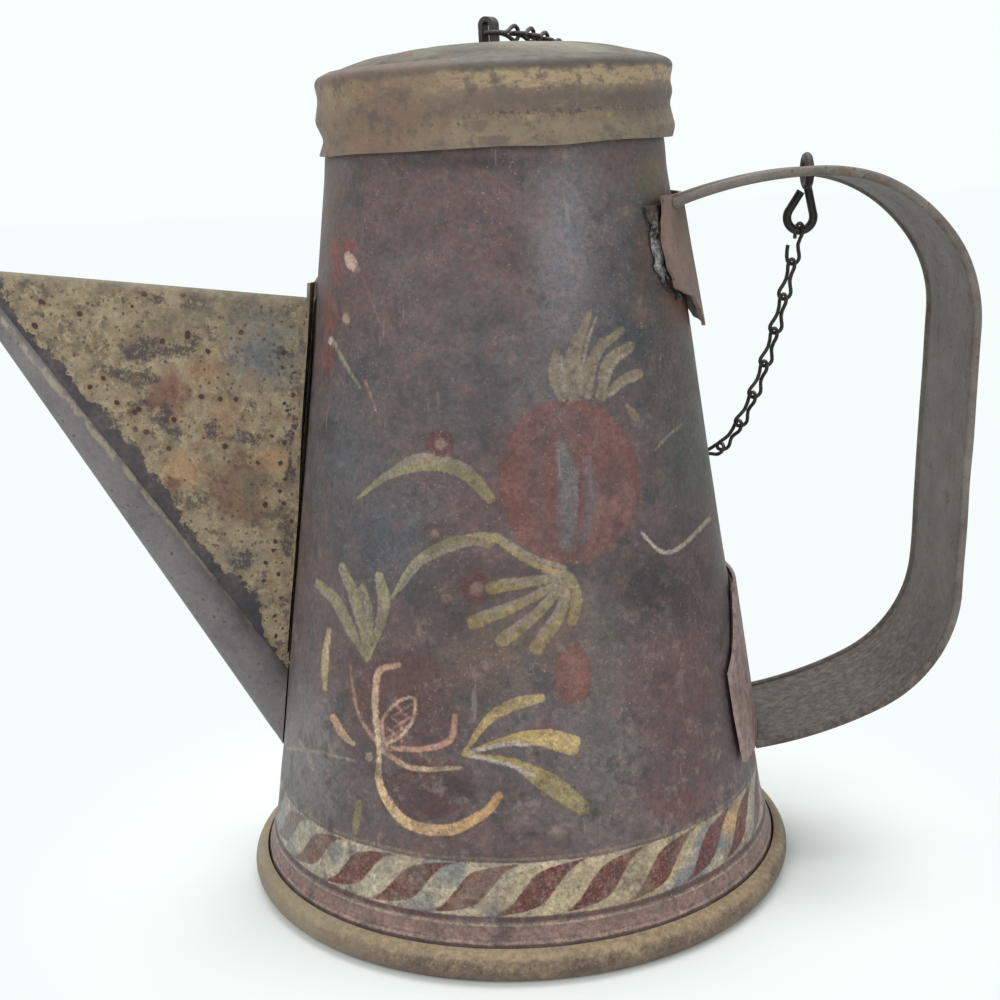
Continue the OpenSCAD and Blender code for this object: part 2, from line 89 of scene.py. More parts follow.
def pixel_ray(px, py):
    return CAM_W + (px - HALF_PX) / FOCAL_PX * CAM_R - (py - HALF_PX) / FOCAL_PX * CAM_U


def on_plane_y(px, py, y):
    """The point of the plane at y that shows at a pixel."""
    ray = pixel_ray(px, py)
    return CAM_AT + (y - CAM_AT[1]) / ray[1] * ray


def cone_r(z):
    return FOOT_R - SLOPE * z


def body_r(z):
    """The body's outer radius, with the flare and the skirt at the foot."""
    flare = cone_r(z) + FLARE_OUT * (np.clip(FLARE_Z - z, 0, None) / (FLARE_Z - SKIRT_Z)) ** 2
    return np.where(z < SKIRT_Z, cone_r(SKIRT_Z) + FLARE_OUT, flare)


def ease(x, lo=0.0, hi=1.0):
    """A smooth rise from 0 at lo to 1 at hi."""
    t = np.clip((x - lo) / (hi - lo), 0, 1)
    return t * t * (3 - 2 * t)


def lattice(ix, iy, iz, seed):
    """A fixed scattered value from 0 to 1 for each cell of a grid."""
    h = (ix * 374761393 + iy * 668265263 + iz * 1274126177 + seed * 974634777) & 0xFFFFFFFF
    h = ((h ^ (h >> 13)) * 1103515245) & 0xFFFFFFFF
    return ((h ^ (h >> 16)) & 0xFFFF) / 65535.0


def bumps(points, size, seed):
    """Smooth noise from 0 to 1 at points, with lumps of the given size."""
    q = points / size
    i = np.floor(q).astype(np.int64)
    f = q - i
    f = f * f * (3 - 2 * f)
    total = 0
    for dx in (0, 1):
        for dy in (0, 1):
            for dz in (0, 1):
                share = (np.abs(1 - dx - f[:, 0]) * np.abs(1 - dy - f[:, 1]) * np.abs(1 - dz - f[:, 2]))
                total = total + share * lattice(i[:, 0] + dx, i[:, 1] + dy, i[:, 2] + dz, seed)
    return total


# Meshes

def make_object(name, points, faces, smooth_deg=35):
    mesh = bpy.data.meshes.new(name)
    mesh.from_pydata((np.asarray(points) * MM).tolist(), [], faces)
    mesh.validate()
    mesh.shade_smooth()
    mesh.set_sharp_from_angle(angle=math.radians(smooth_deg))
    obj = bpy.data.objects.new(name, mesh)
    bpy.context.scene.collection.objects.link(obj)
    return obj


def grid_faces(rows, cols, close_rows=True, close_cols=True):
    """Quads of a grid whose points are numbered row by row."""
    r = np.arange(rows if close_rows else rows - 1)
    c = np.arange(cols if close_cols else cols - 1)
    r, c = [v.ravel() for v in np.meshgrid(r, c, indexing="ij")]
    r1, c1 = (r + 1) % rows, (c + 1) % cols
    return np.column_stack([r * cols + c, r * cols + c1, r1 * cols + c1, r1 * cols + c]).tolist()


def capped_tube(rows, count):
    """Faces of an open tube of rows of points, with a face at each end."""
    faces = grid_faces(rows, count, close_rows=False)
    faces.append(list(range(count))[::-1])
    faces.append(list(range((rows - 1) * count, rows * count)))
    return faces


def rework(obj, work):
    """Runs a bmesh operation on an object's mesh."""
    bm = bmesh.new()
    bm.from_mesh(obj.data)
    work(bm)
    bm.to_mesh(obj.data)
    bm.free()


def cut(obj, cutter):
    """Takes the cutter's solid away from the object."""
    tool = obj.modifiers.new("cut", "BOOLEAN")
    tool.operation = "DIFFERENCE"
    tool.solver = "MANIFOLD"
    tool.object = cutter
    bpy.context.view_layer.update()
    done = obj.evaluated_get(bpy.context.evaluated_depsgraph_get())
    mesh = bpy.data.meshes.new_from_object(done)
    obj.modifiers.clear()
    obj.data = mesh
    bpy.data.objects.remove(cutter)


def rod(name, at, way, length, radius, sides=48):
    """A closed straight rod from a point along a direction."""
    way = Vector(way).normalized()
    turn = way.to_track_quat("Z", "Y").to_matrix()
    ring = [Vector((math.cos(a), math.sin(a), 0)) * radius
            for a in np.linspace(0, 2 * math.pi, sides, endpoint=False)]
    points = [Vector(at) + turn @ (p + Vector((0, 0, h))) for h in (0, length) for p in ring]
    faces = [list(range(sides))[::-1], list(range(sides, 2 * sides))]
    faces += [[i, (i + 1) % sides, sides + (i + 1) % sides, sides + i] for i in range(sides)]
    return make_object(name, [list(p) for p in points], faces)


# Ornament: strokes laid on the body by the place where they show in the photograph

PX_PER_MM, EDGE_MM, SPREAD_PX = 4.0, 1.2, 0.5

MAROON, RED, DEEP = (88, 50, 48), (118, 66, 60), (78, 52, 52)
CREAM, WHITE, PINK = (196, 172, 140), (206, 198, 184), (178, 140, 122)
OCHRE, OLIVE, GREEN = (166, 142, 88), (150, 138, 90), (160, 154, 112)
ORANGE, GREY_BLUE, PALE = (196, 150, 100), (128, 132, 132), (176, 164, 140)


def linear(colour):
    """Scene values of a colour given as it shows on a screen, from 0 to 255."""
    c = np.asarray(colour, float) / 255
    return np.where(c <= 0.04045, c / 12.92, ((c + 0.055) / 1.055) ** 2.4)


def curve_through(points, steps=7):
    """Points along a smooth curve through the given ones, with their widths."""
    p = np.array(points, float)
    p = np.vstack([2 * p[0] - p[1], p, 2 * p[-1] - p[-2]])
    out = []
    for i in range(1, len(p) - 2):
        for t in np.linspace(0, 1, steps, endpoint=False):
            out.append(0.5 * (2 * p[i] + (p[i + 1] - p[i - 1]) * t
                              + (2 * p[i - 1] - 5 * p[i] + 4 * p[i + 1] - p[i + 2]) * t * t
                              + (3 * p[i] - 3 * p[i + 1] + p[i + 2] - p[i - 1]) * t ** 3))
    out.append(p[-2])
    return np.array(out)


class Layer:
    """A coat of paint on the body: a colour, how far inside a stroke each point lies, and how thick it is."""

    def __init__(self, name, pixels, seen):
        self.name, self.pixels, self.seen = name, pixels, seen
        n = len(pixels)
        self.colour = np.tile(linear(CREAM), (n, 1))
        self.depth = np.full(n, -EDGE_MM)
        self.thick = np.zeros(n)
        self.blur = 0.3

    def lay(self, index, depth, colour, thick=1.0):
        """Lays a shape over the coat; depth is how far inside the shape each point lies, in millimetres."""
        old = self.depth[index]
        over = np.clip(0.5 + depth / self.blur, 0, 1)
        over = np.where((depth > old) & (old < 0), 1.0, over)[:, None]
        self.colour[index] = (1 - over) * self.colour[index] + over * colour
        self.thick[index] = (1 - over[:, 0]) * self.thick[index] + over[:, 0] * thick
        self.depth[index] = np.maximum(old, depth)

    def near(self, x0, y0, x1, y1, margin=8):
        """The seen points about a frame given in pixels."""
        p = self.pixels
        return np.nonzero(self.seen & (p[:, 0] > x0 - margin) & (p[:, 0] < x1 + margin)
                          & (p[:, 1] > y0 - margin) & (p[:, 1] < y1 + margin))[0]

    def stroke(self, points, thick, start, end=None):
        """Lays a line of (x, y, width) in pixels, its colour running from start to end."""
        line = curve_through(points)
        index = self.near(line[:, 0].min(), line[:, 1].min(), line[:, 0].max(), line[:, 1].max())
        p = self.pixels[index]
        best = np.full(len(p), -1e3)
        along = np.zeros(len(p))
        for j in range(len(line) - 1):
            a, b = line[j], line[j + 1]
            way = b[:2] - a[:2]
            t = np.clip(((p - a[:2]) @ way) / max(way @ way, 1e-9), 0, 1)
            d = (a[2] + t * (b[2] - a[2])) / 2 + SPREAD_PX - np.hypot(*(p - a[:2] - t[:, None] * way).T)
            along = np.where(d > best, (j + t) / (len(line) - 1), along)
            best = np.maximum(best, d)
        c0, c1 = linear(start), linear(end or start)
        self.lay(index, best / PX_PER_MM, c0 + along[:, None] * (c1 - c0), thick)

    def oval(self, x, y, rx, ry, colour, thick=1.0, turn=0.0, inner=None, soft=1.0):
        """An ellipse, or a ring where inner gives the share of its radius that is left open."""
        reach = max(rx, ry)
        index = self.near(x - reach, y - reach, x + reach, y + reach)
        d = self.pixels[index] - (x, y)
        c, s = math.cos(math.radians(turn)), math.sin(math.radians(turn))
        u, v = d[:, 0] * c + d[:, 1] * s, -d[:, 0] * s + d[:, 1] * c
        share = np.hypot(u / rx, v / ry)
        depth = (1 - share) * min(rx, ry)
        if inner:
            depth = np.minimum(depth, (share - inner) * min(rx, ry))
        self.lay(index, depth * soft / PX_PER_MM, linear(colour), thick)

    def store(self, mesh, total):
        """Writes the coat to the mesh, its depth in the colour's fourth value."""
        data = np.zeros((total, 4), np.float32)
        n = len(self.depth)
        data[:n, :3] = self.colour
        data[:n, 3] = np.clip(0.5 + self.depth / (2 * EDGE_MM), 0, 1)
        mesh.color_attributes.new(self.name, "FLOAT_COLOR", "POINT").data.foreach_set("color", data.ravel())
        thick = np.zeros(total, np.float32)
        thick[:n] = self.thick
        mesh.attributes.new(self.name + "_thick", "FLOAT", "POINT").data.foreach_set("value", thick)


def paint_ground(layer):
    """The large shapes: the fruit with its brushed streaks, its bud, the soft red smears and petals."""
    layer.blur = 2.2
    stroke, oval = layer.stroke, layer.oval
    oval(569, 481, 71, 82, (108, 60, 56), 0.62, turn=-6)
    oval(567, 482, 62, 73, (120, 70, 64), 0.45, turn=-6, inner=0.62, soft=0.5)
    for points, colour, thick in (
            ([(520, 436, 8), (510, 480, 16), (522, 534, 8)], (132, 70, 62), 0.5),
            ([(546, 430, 8), (536, 476, 13), (546, 540, 8)], (96, 60, 58), 0.5),
            ([(562, 446, 9), (570, 492, 22), (566, 544, 12)], (116, 117, 119), 0.6),
            ([(588, 462, 5), (592, 500, 10), (584, 540, 5)], (106, 104, 106), 0.5),
            ([(606, 430, 8), (614, 486, 14), (602, 548, 7)], (112, 58, 54), 0.5),
            ([(548, 412, 6), (576, 405, 10), (608, 416, 6)], (126, 66, 58), 0.5),
            ([(600, 500, 2.5), (592, 538, 3), (580, 560, 2)], (156, 106, 96), 0.45),
            ([(616, 498, 2.5), (608, 534, 3), (594, 558, 2)], (150, 100, 92), 0.45),
            ([(630, 486, 2.5), (626, 524, 3), (610, 552, 2)], (146, 98, 88), 0.4),
            ([(532, 548, 3), (556, 560, 5), (590, 562, 4)], (140, 84, 74), 0.45)):
        stroke(points, thick, colour)
    oval(573, 674, 19, 31, (116, 66, 58), 0.7)
    oval(572, 672, 11, 21, (132, 84, 72), 0.5, soft=0.6)
    oval(428, 790, 50, 30, DEEP, 0.7, turn=-12)
    oval(398, 690, 48, 36, (90, 56, 54), 0.4, turn=-20, soft=0.5)
    for x, y, rx, ry in ((336, 262, 8, 24), (330, 312, 8, 22), (328, 356, 6, 20), (350, 246, 9, 8)):
        oval(x, y, rx, ry, (134, 60, 54), 0.42, soft=0.5)
    oval(640, 318, 14, 10, (116, 78, 72), 0.25, soft=0.6)
    oval(668, 690, 44, 58, (104, 66, 64), 0.3, soft=0.3)
    oval(676, 806, 30, 18, (116, 56, 56), 0.35, soft=0.3)


def paint_strokes(layer):
    """The lines, leaves and flowers laid over them."""
    stroke, oval = layer.stroke, layer.oval
    # buds at the upper left, on thin stems
    oval(351, 262, 6, 11, (186, 160, 144), 0.8, turn=-25)
    oval(358, 270, 3, 4, (168, 130, 118), 0.6)
    oval(346, 319, 4, 6, (186, 156, 140), 0.7, turn=-20)
    oval(331, 341, 3, 5, WHITE, 0.75)
    stroke([(334, 343, 3.5), (347, 367, 2.5), (361, 389, 1.5)], 0.55, PALE, GREEN)
    stroke([(363, 278, 2), (372, 302, 1.5), (381, 326, 1)], 0.4, (150, 110, 100))
    stroke([(365, 380, 2.5), (371, 396, 2), (376, 411, 1.5)], 0.5, PINK)
    # two pale arcs from the fruit
    stroke([(358, 498, 2), (387, 476, 8), (425, 464, 13), (462, 470, 15), (490, 498, 10)], 0.58, GREEN, OLIVE)
    stroke([(384, 476, 4), (412, 459, 7), (440, 458, 7), (470, 468, 4)], 0.4, PALE)
    stroke([(392, 598, 3), (418, 562, 10), (458, 543, 12), (495, 538, 9), (520, 556, 7), (548, 570, 6),
            (571, 575, 5)], 0.6, GREEN, OCHRE)
    stroke([(400, 590, 3), (421, 562, 6), (446, 550, 5), (478, 541, 4)], 0.35, PALE)
    stroke([(428, 552, 6), (456, 540, 8), (490, 545, 6)], 0.35, OLIVE)
    # berries
    for x, y, r, thick in ((440, 443, 15, 0.62), (434, 533, 11, 0.35), (476, 588, 18, 0.7)):
        oval(x, y, r, r * 0.92, MAROON, thick)
        oval(x + 1, y + 1, r * 0.4, r * 0.36, (146, 116, 106), 0.55, soft=0.8)
    # plume on the fruit
    for points in (
            [(562, 398, 9), (555, 376, 12), (556, 352, 6)], [(573, 398, 9), (578, 348, 10), (590, 312, 5)],
            [(588, 396, 7), (596, 354, 10), (622, 330, 7)], [(599, 396, 6), (607, 362, 9), (631, 346, 9)],
            [(603, 398, 5), (622, 380, 8), (638, 374, 10)], [(566, 394, 6), (568, 362, 8), (576, 336, 5)],
            [(628, 406, 4), (634, 415, 7), (638, 420, 3)], [(580, 392, 6), (588, 366, 7), (602, 340, 5)]):
        stroke(points, 0.5, (150, 138, 112), (146, 130, 98))
    for points in (
            [(566, 392, 3), (562, 372, 4), (562, 356, 2)], [(580, 388, 3), (586, 346, 3), (596, 318, 2)],
            [(604, 390, 3), (614, 364, 4), (632, 350, 3)], [(610, 396, 3), (624, 384, 3), (636, 379, 3)]):
        stroke(points, 0.45, PALE)
    # fan of leaves under the fruit
    for points in (
            [(571, 575, 5), (532, 582, 9), (492, 588, 12)], [(571, 576, 4), (523, 602, 10), (474, 622, 14)],
            [(571, 577, 4), (539, 612, 10), (503, 640, 14)], [(571, 577, 4), (560, 615, 10), (536, 648, 14)],
            [(573, 577, 4), (577, 600, 11), (572, 622, 9)]):
        stroke(points, 0.52, GREEN, OCHRE)
    for points in (
            [(565, 574, 3), (535, 578, 4), (500, 582, 5)], [(560, 580, 3), (520, 600, 4), (482, 614, 5)],
            [(562, 582, 3), (534, 612, 4), (508, 632, 5)], [(566, 584, 2), (556, 612, 4), (538, 636, 5)]):
        stroke(points, 0.38, PALE)
    stroke([(505, 540, 4), (530, 556, 5), (565, 568, 4)], 0.4, PALE)
    stroke([(642, 533, 2), (662, 552, 3.5), (683, 545, 3.5), (709, 519, 4)], 0.6, WHITE, PALE)
    # green leaves at the left, each with a paler side
    for points in (
            [(366, 660, 3), (352, 632, 8), (337, 602, 10), (318, 582, 5)],
            [(367, 660, 3), (361, 620, 8), (352, 590, 10), (342, 565, 5)],
            [(368, 660, 3), (370, 630, 6), (368, 604, 7), (362, 586, 3)],
            [(368, 660, 3), (379, 628, 8), (384, 602, 12), (379, 576, 8)]):
        stroke(points, 0.6, (142, 136, 100), GREEN)
        stroke([(x - 3, y + 3, w * 0.35) for x, y, w in points[1:]], 0.45, PALE)
    # cream strokes and the line flower
    stroke([(329, 630, 4), (325, 660, 7), (325, 689, 4)], 0.85, CREAM, (170, 150, 104))
    stroke([(333, 717, 6), (342, 733, 7), (353, 744, 3)], 0.85, (190, 150, 118), CREAM)
    stroke([(350, 666, 2), (358, 712, 3), (379, 747, 3)], 0.55, PINK)
    stroke([(379, 748, 4), (375, 706, 6), (379, 672, 6), (399, 665, 5)], 0.9, CREAM, PINK)
    stroke([(385, 744, 3), (382, 722, 3), (395, 704, 3), (413, 698, 3), (414, 716, 3), (403, 734, 3),
            (386, 744, 3)], 0.85, PINK, CREAM)
    for x, y in ((389, 715), (397, 707), (388, 728)):
        stroke([(x, y, 1.8), (x + 7, y + 6, 1.8), (x + 14, y + 13, 1.8)], 0.7, PINK)
    for x, y in ((412, 704), (412, 716), (403, 729)):
        stroke([(x, y, 1.8), (x - 8, y + 5, 1.8), (x - 17, y + 11, 1.8)], 0.7, PINK)
    stroke([(381, 748, 4), (423, 749, 5), (450, 740, 6), (455, 716, 5)], 0.9, PINK, (188, 138, 116))
    stroke([(381, 750, 4), (413, 768, 5), (461, 768, 3)], 0.85, PINK, CREAM)
    stroke([(379, 751, 4), (381, 788, 7), (406, 822, 10), (448, 830, 11), (484, 813, 9), (499, 796, 8)],
           0.95, CREAM, ORANGE)
    oval(369, 757, 4, 5, PALE, 0.6)
    # three ochre leaves
    stroke([(463, 754, 3), (489, 719, 9), (516, 704, 12), (541, 698, 8)], 0.88, OCHRE, (172, 150, 108))
    stroke([(465, 754, 3), (505, 740, 6), (540, 737, 17), (572, 745, 20)], 0.9, OCHRE, (176, 152, 104))
    stroke([(465, 755, 3), (510, 762, 8), (550, 784, 20), (583, 808, 15)], 0.88, OCHRE, OLIVE)
    stroke([(470, 753, 2), (505, 745, 3), (530, 745, 2)], 0.55, WHITE)
    stroke([(470, 756, 2), (508, 765, 3), (534, 776, 2)], 0.5, WHITE)
    # faint scribbles and drips at the lower left
    stroke([(288, 748, 2.5), (318, 752, 3), (356, 761, 2.5)], 0.4, PALE)
    stroke([(299, 741, 3), (309, 757, 4), (312, 770, 2)], 0.3, PALE)
    stroke([(359, 802, 5), (357, 818, 7), (355, 832, 5)], 0.55, OLIVE)
    stroke([(655, 450, 1.5), (668, 436, 2), (682, 424, 1.5)], 0.35, PALE)


# The rope: its lower and upper edge, how many strokes go round, how far each runs, and where the first one stands
ROPE_LO, ROPE_HI, ROPE_TURNS, ROPE_RUN, ROPE_SHIFT = 15.2, 28.6, 26, 27.0, -0.239
RIDGE_HI, RIDGE_LO = 13.3, 9.3


def paint_border(ground, top, points):
    """The painted rope round the foot: S-shaped strokes on a pale band, with lines above and below."""
    z = points[:, 2]
    index = np.nonzero(z < ROPE_HI + 4)[0]
    p, z = points[index], z[index]
    angle = np.degrees(np.arctan2(p[:, 1], p[:, 0])) % 360
    wobble = (bumps(p, 9, 11) - 0.5) * 1.1
    arc = math.radians(1) * body_r(z)
    v = np.clip((z - ROPE_LO) / (ROPE_HI - ROPE_LO), 0, 1)
    lean = ROPE_RUN * (0.38 * (v - 0.5) + 0.31 * (2 * v - 1) ** 5)
    step = 360 / ROPE_TURNS
    turn = (angle - lean / arc + 0.12 * wobble) / step + ROPE_SHIFT
    cell = np.floor(turn).astype(int) % ROPE_TURNS
    off = (turn - np.floor(turn) - 0.5) * step * arc
    half = 4.2 * (1 - np.abs(2 * v - 1) ** 6) + 0.7 * wobble
    steep = 1 / np.hypot(1, (0.38 + 3.1 * (2 * v - 1) ** 4) * ROPE_RUN / (ROPE_HI - ROPE_LO))
    band = np.minimum(z - ROPE_LO, ROPE_HI - z) + 0.35 * wobble
    tones = np.array([linear(c) for c in ((186, 174, 148), (172, 162, 140), (166, 160, 146), (184, 168, 136))])
    pale = tones[(lattice(cell, cell * 7, cell * 0, 5) * 4.2).astype(int).clip(0, 3)]
    # one gap is ochre, cool blots lie over all, and the left end is worn to a pale grey
    pale = np.where((np.abs(angle - 325) < 5)[:, None], linear((196, 162, 118)), pale)
    left = ease(angle, 222, 205)
    for share, tone in ((ease(bumps(p, 8, 9), 0.62, 0.78) * 0.75, (118, 124, 128)),
                        (left * ease(bumps(p, 5, 15), 0.4, 0.6), (150, 156, 150))):
        pale = pale + share[:, None] * (linear(tone) - pale)
    ground.lay(index, band, pale, 0.9)
    stripe = np.minimum((half - np.abs(off)) * steep, band + 0.6)
    maroon = linear(MAROON) + (bumps(p, 5, 3)[:, None] - 0.4) * (linear((104, 50, 48)) - linear(MAROON))
    top.lay(index, stripe, maroon, 1.0 - 0.35 * ease(angle, 225, 205))
    # the lines above and below: height, half width, colour, thickness. The pale lines on the two ridges are painted
    # highlights along their crests, and the band between them is red-brown paint with a painted pinkish sheen
    for height, width, colour, thick in (
            (29.5, 0.4, (146, 132, 114), 0.45), (14.5, 0.5, MAROON, 0.7), (RIDGE_HI, 0.5, (176, 158, 138), 0.7),
            (11.5, 1.6, (146, 118, 110), 0.75), (RIDGE_LO, 0.45, (186, 156, 138), 0.65)):
        line = width - np.abs(z - height - 0.3 * wobble)
        ground.lay(index, np.where(np.abs(z - height) < 3, line, -EDGE_MM), linear(colour), thick)


# Broad zones of tone on the seen side of the body: x, y, two radii, colour, strength. Some are painted light: the cool
# pale streak near x 560 is a painted highlight, the dark zones near x 634 and 690 are painted shade towards the right
# side, and the thin dark band at y 162 is a painted shadow under the cap
TONE_AND_LIGHT_ZONES = [
    (450, 225, 70, 60, (98, 79, 77), 0.6), (372, 190, 40, 40, (102, 86, 82), 0.5),
    (566, 235, 42, 90, (120, 119, 123), 0.85), (556, 335, 28, 60, (112, 107, 110), 0.6),
    (634, 320, 44, 90, (66, 70, 74), 0.95), (470, 395, 62, 62, (82, 78, 81), 0.9),
    (340, 450, 50, 80, (88, 89, 92), 0.95), (392, 540, 50, 60, (84, 87, 92), 0.9),
    (456, 596, 48, 48, (74, 64, 62), 0.95), (520, 650, 80, 50, (106, 94, 82), 0.6),
    (690, 450, 40, 90, (86, 88, 86), 0.95), (652, 590, 46, 40, (58, 54, 55), 1.1),
    (596, 620, 30, 60, (106, 100, 96), 0.6), (612, 700, 44, 44, (104, 96, 92), 0.6),
    (686, 740, 50, 60, (92, 72, 71), 0.7), (600, 820, 110, 30, (114, 104, 100), 0.75),
    (400, 740, 80, 60, (90, 64, 61), 0.6), (306, 756, 38, 70, (124, 123, 121), 1.1),
    (330, 620, 30, 60, (98, 88, 86), 0.5), (430, 690, 70, 50, (88, 72, 69), 0.5),
    (420, 850, 70, 24, (104, 87, 81), 0.5), (460, 162, 110, 9, (64, 54, 52), 0.9),
    (338, 240, 16, 80, (100, 78, 70), 0.6), (560, 440, 60, 30, (96, 90, 90), 0.4),
    (636, 216, 24, 44, (78, 74, 75), 1.0), (652, 176, 13, 24, (104, 90, 68), 1.8),
    (676, 300, 14, 24, (118, 90, 76), 1.8), (643, 262, 9, 30, (98, 76, 64), 1.5),
    (640, 306, 12, 14, (112, 90, 80), 1.2),
]


# Blends the zones by weight; besides the body's own tones they carry painted highlight and shade
def body_tone_and_light(pixels, seen, total):
    tone = np.zeros((total, 4), np.float32)
    weight = np.full(len(pixels), 1e-6)
    colour = np.zeros((len(pixels), 3))
    for x, y, rx, ry, shade, strength in TONE_AND_LIGHT_ZONES:
        near = np.exp(-1.4 * (((pixels[:, 0] - x) / rx) ** 2 + ((pixels[:, 1] - y) / ry) ** 2))
        w = strength * near * seen
        colour += w[:, None] * linear(shade)
        weight += w
    tone[:len(pixels), :3] = colour / weight[:, None]
    tone[:len(pixels), 3] = np.clip(weight, 0, 0.9)
    return tone


# Ridges above the foot: height and half width
RIDGES, RIDGE_OUT = ((RIDGE_HI, 0.7), (RIDGE_LO, 0.6)), 0.22
# Dents of the body: heading in degrees, height, size and depth
DENTS = [(-118, 120, 16, 0.5), (-62, 86, 20, 0.55), (-88, 160, 22, 0.5), (-30, 110, 18, 0.4)]


def make_body():
    """The dented body with the ornament on its seen side and the hole that feeds the spout."""
    # close columns on the seen side, where the ornament is, and close rows at the border
    seen_side, back = np.linspace(-174, -6, 316), np.linspace(-6, 186, 130)[1:-1]
    angles = np.radians(np.concatenate([seen_side, back]))
    z_out = np.concatenate([[SKIRT_END, 3.2, 5.4, SKIRT_Z], np.arange(SKIRT_Z + 0.4, 34, 0.42),
                            np.arange(34, 198, 0.56), np.arange(198.5, SHELL_TOP - 0.5, 1.2), [SHELL_TOP]])
    z_in = z_out[::-1][::14]
    z_in = np.append(z_in, SKIRT_END) if z_in[-1] > SKIRT_END else z_in
    points = []
    for zs, inset in ((z_out, 0.0), (z_in, SHEET)):
        zz, aa = [v.ravel() for v in np.meshgrid(zs, angles, indexing="ij")]
        flat = np.column_stack([np.cos(aa), np.sin(aa), zz / 60])
        dent = bumps(flat * 60, 34, 21) * 0.55 + bumps(flat * 60, 13, 22) * 0.18
        for a0, z0, size, deep in DENTS:
            far = np.hypot((np.degrees(aa) - a0) * 1.05, zz - z0) / size
            dent = dent + deep * np.exp(-far ** 2)
        dent = dent * ease(zz, 26, 42) * (1 - ease(zz, 190, 198))
        ridge = sum(RIDGE_OUT * np.exp(-((zz - height) / half) ** 2) for height, half in RIDGES)
        r = body_r(zz) - inset - dent + ridge
        points.append(np.column_stack([r * np.cos(aa), r * np.sin(aa), zz]))
    outer = points[0]
    points = np.vstack(points)
    rows = len(z_out) + len(z_in)
    obj = make_object("body_skin", points, grid_faces(rows, len(angles)), 50)

    pixels = to_pixels(outer)
    normal = np.column_stack([outer[:, 0], outer[:, 1], SLOPE * np.hypot(outer[:, 0], outer[:, 1])])
    seen = np.einsum("ij,ij->i", normal, CAM_AT - outer) > 0
    seen &= outer[:, 2] > SKIRT_Z
    ground, top = Layer("ink_ground", pixels, seen), Layer("ink_top", pixels, seen)
    paint_border(ground, top, outer)
    high = outer[:, 2] > ROPE_HI + 1
    ground.seen = top.seen = seen & high
    paint_ground(ground)
    paint_strokes(top)
    ground.store(obj.data, len(points))
    top.store(obj.data, len(points))
    # broad tones, which carry a painted highlight streak, painted shade towards the right side and a painted shadow
    # under the cap
    tone = body_tone_and_light(pixels, seen, len(points))
    obj.data.color_attributes.new("tone", "FLOAT_COLOR", "POINT").data.foreach_set("color", tone.ravel())
    feed = (FEED_IN - cone_r(FEED_Z), 0, FEED_Z)
    way = (-math.cos(SPOUT_LEAN), 0, math.sin(SPOUT_LEAN))
    start = [feed[i] - 12 * way[i] for i in range(3)]
    cut(obj, rod("feed", start, way, 40, FEED_R))
    return obj


# Cap, in its own tilted frame

def dome_h(x):
    """Height of the dome's outer face at a distance from its middle."""
    return CAP_H - DOME_RISE * (x / DOME_R) ** DOME_P


def dome_slope(x):
    return DOME_RISE * DOME_P / DOME_R * (x / DOME_R) ** (DOME_P - 1)


def cap_place(points):
    """Takes points from the cap's own frame to where it sits on the mouth's rim, tilted."""
    tilt = math.radians(CAP_TILT)
    x, y, h = points.T
    base = RIM_Z + CAP_SEAT * math.hypot(1, dome_slope(RIM_R))
    base = base - (dome_h(RIM_R) - CAP_SHEET) + RIM_R * math.sin(tilt)
    return np.column_stack([
        CAP_SHIFT + x * math.cos(tilt) - h * math.sin(tilt), y, base + x * math.sin(tilt) + h * math.cos(tilt)])


def revolve(name, outer, inner, sides, shape, smooth_deg=45):
    """A closed turned piece; shape(r, h, angle, inset) gives the worked radius and height."""
    profile = np.vstack([outer, inner])
    inset = np.concatenate([np.zeros(len(outer)), np.ones(len(inner))])
    angles = np.linspace(0, 2 * math.pi, sides, endpoint=False)
    r, a = np.meshgrid(profile[:, 0], angles, indexing="ij")
    h, _ = np.meshgrid(profile[:, 1], angles, indexing="ij")
    s, _ = np.meshgrid(inset, angles, indexing="ij")
    r, h = shape(r.ravel(), h.ravel(), a.ravel(), s.ravel())
    points = np.column_stack([r * np.cos(a.ravel()), r * np.sin(a.ravel()), h])
    return make_object(name, cap_place(points), grid_faces(len(profile), sides), smooth_deg)


# The cap's worked outer radius by height, on the spout's side and the handle's, and where its two pieces meet
WALL_H = [-0.1, 0.8, 3.0, 4.0, 8.5, 11.5, 14.2, 17.5, 19.5]
WALL_LEFT = [46.0, 45.7, 44.8, 44.5, 46.2, 45.6, 45.1, 45.6, 45.8]
WALL_RIGHT = [45.6, 45.9, 46.4, 46.1, 45.1, 46.0, 45.4, 46.1, 46.2]
BAND_EDGE, TOP_EDGE, CAP_SIDES = 13.73, 13.75, 300

# Dents of the dome, as place, two radii and depth, and creases, as place, direction, length and height
DOME_DENTS = [(-23, -31, 8, 5, 2.1), (-33, -18, 6, 8, 1.4), (-12, -35, 6, 4, 1.1), (8, -33, 16, 4, 0.9),
              (28, -24, 7, 7, 1.0), (-14, 12, 16, 12, 0.7)]
DOME_CREASES = [(-27, -27, 0.5, 0.86, 7, 0.7), (-17, -30, 0.9, -0.4, 8, 0.6)]


def on_wall(h, a):
    """Places round the wall, for its noise."""
    return np.column_stack([np.cos(a) * 46, np.sin(a) * 46, h])


def wall_r(h, a):
    """The outer radius of the cap's wall, over both its pieces."""
    side = 0.5 + 0.5 * np.cos(a + 0.3 * np.sin(2 * a))
    worked = 0
    for step in (-0.7, 0, 0.7):
        left, right = np.interp(h + step, WALL_H, WALL_LEFT), np.interp(h + step, WALL_H, WALL_RIGHT)
        worked = worked + ((1 - side) * left + side * right) / 3
    around = on_wall(h, a)
    return worked + (bumps(around, 11, 5) - 0.5) * 0.45 + (bumps(around, 4, 6) - 0.5) * 0.2


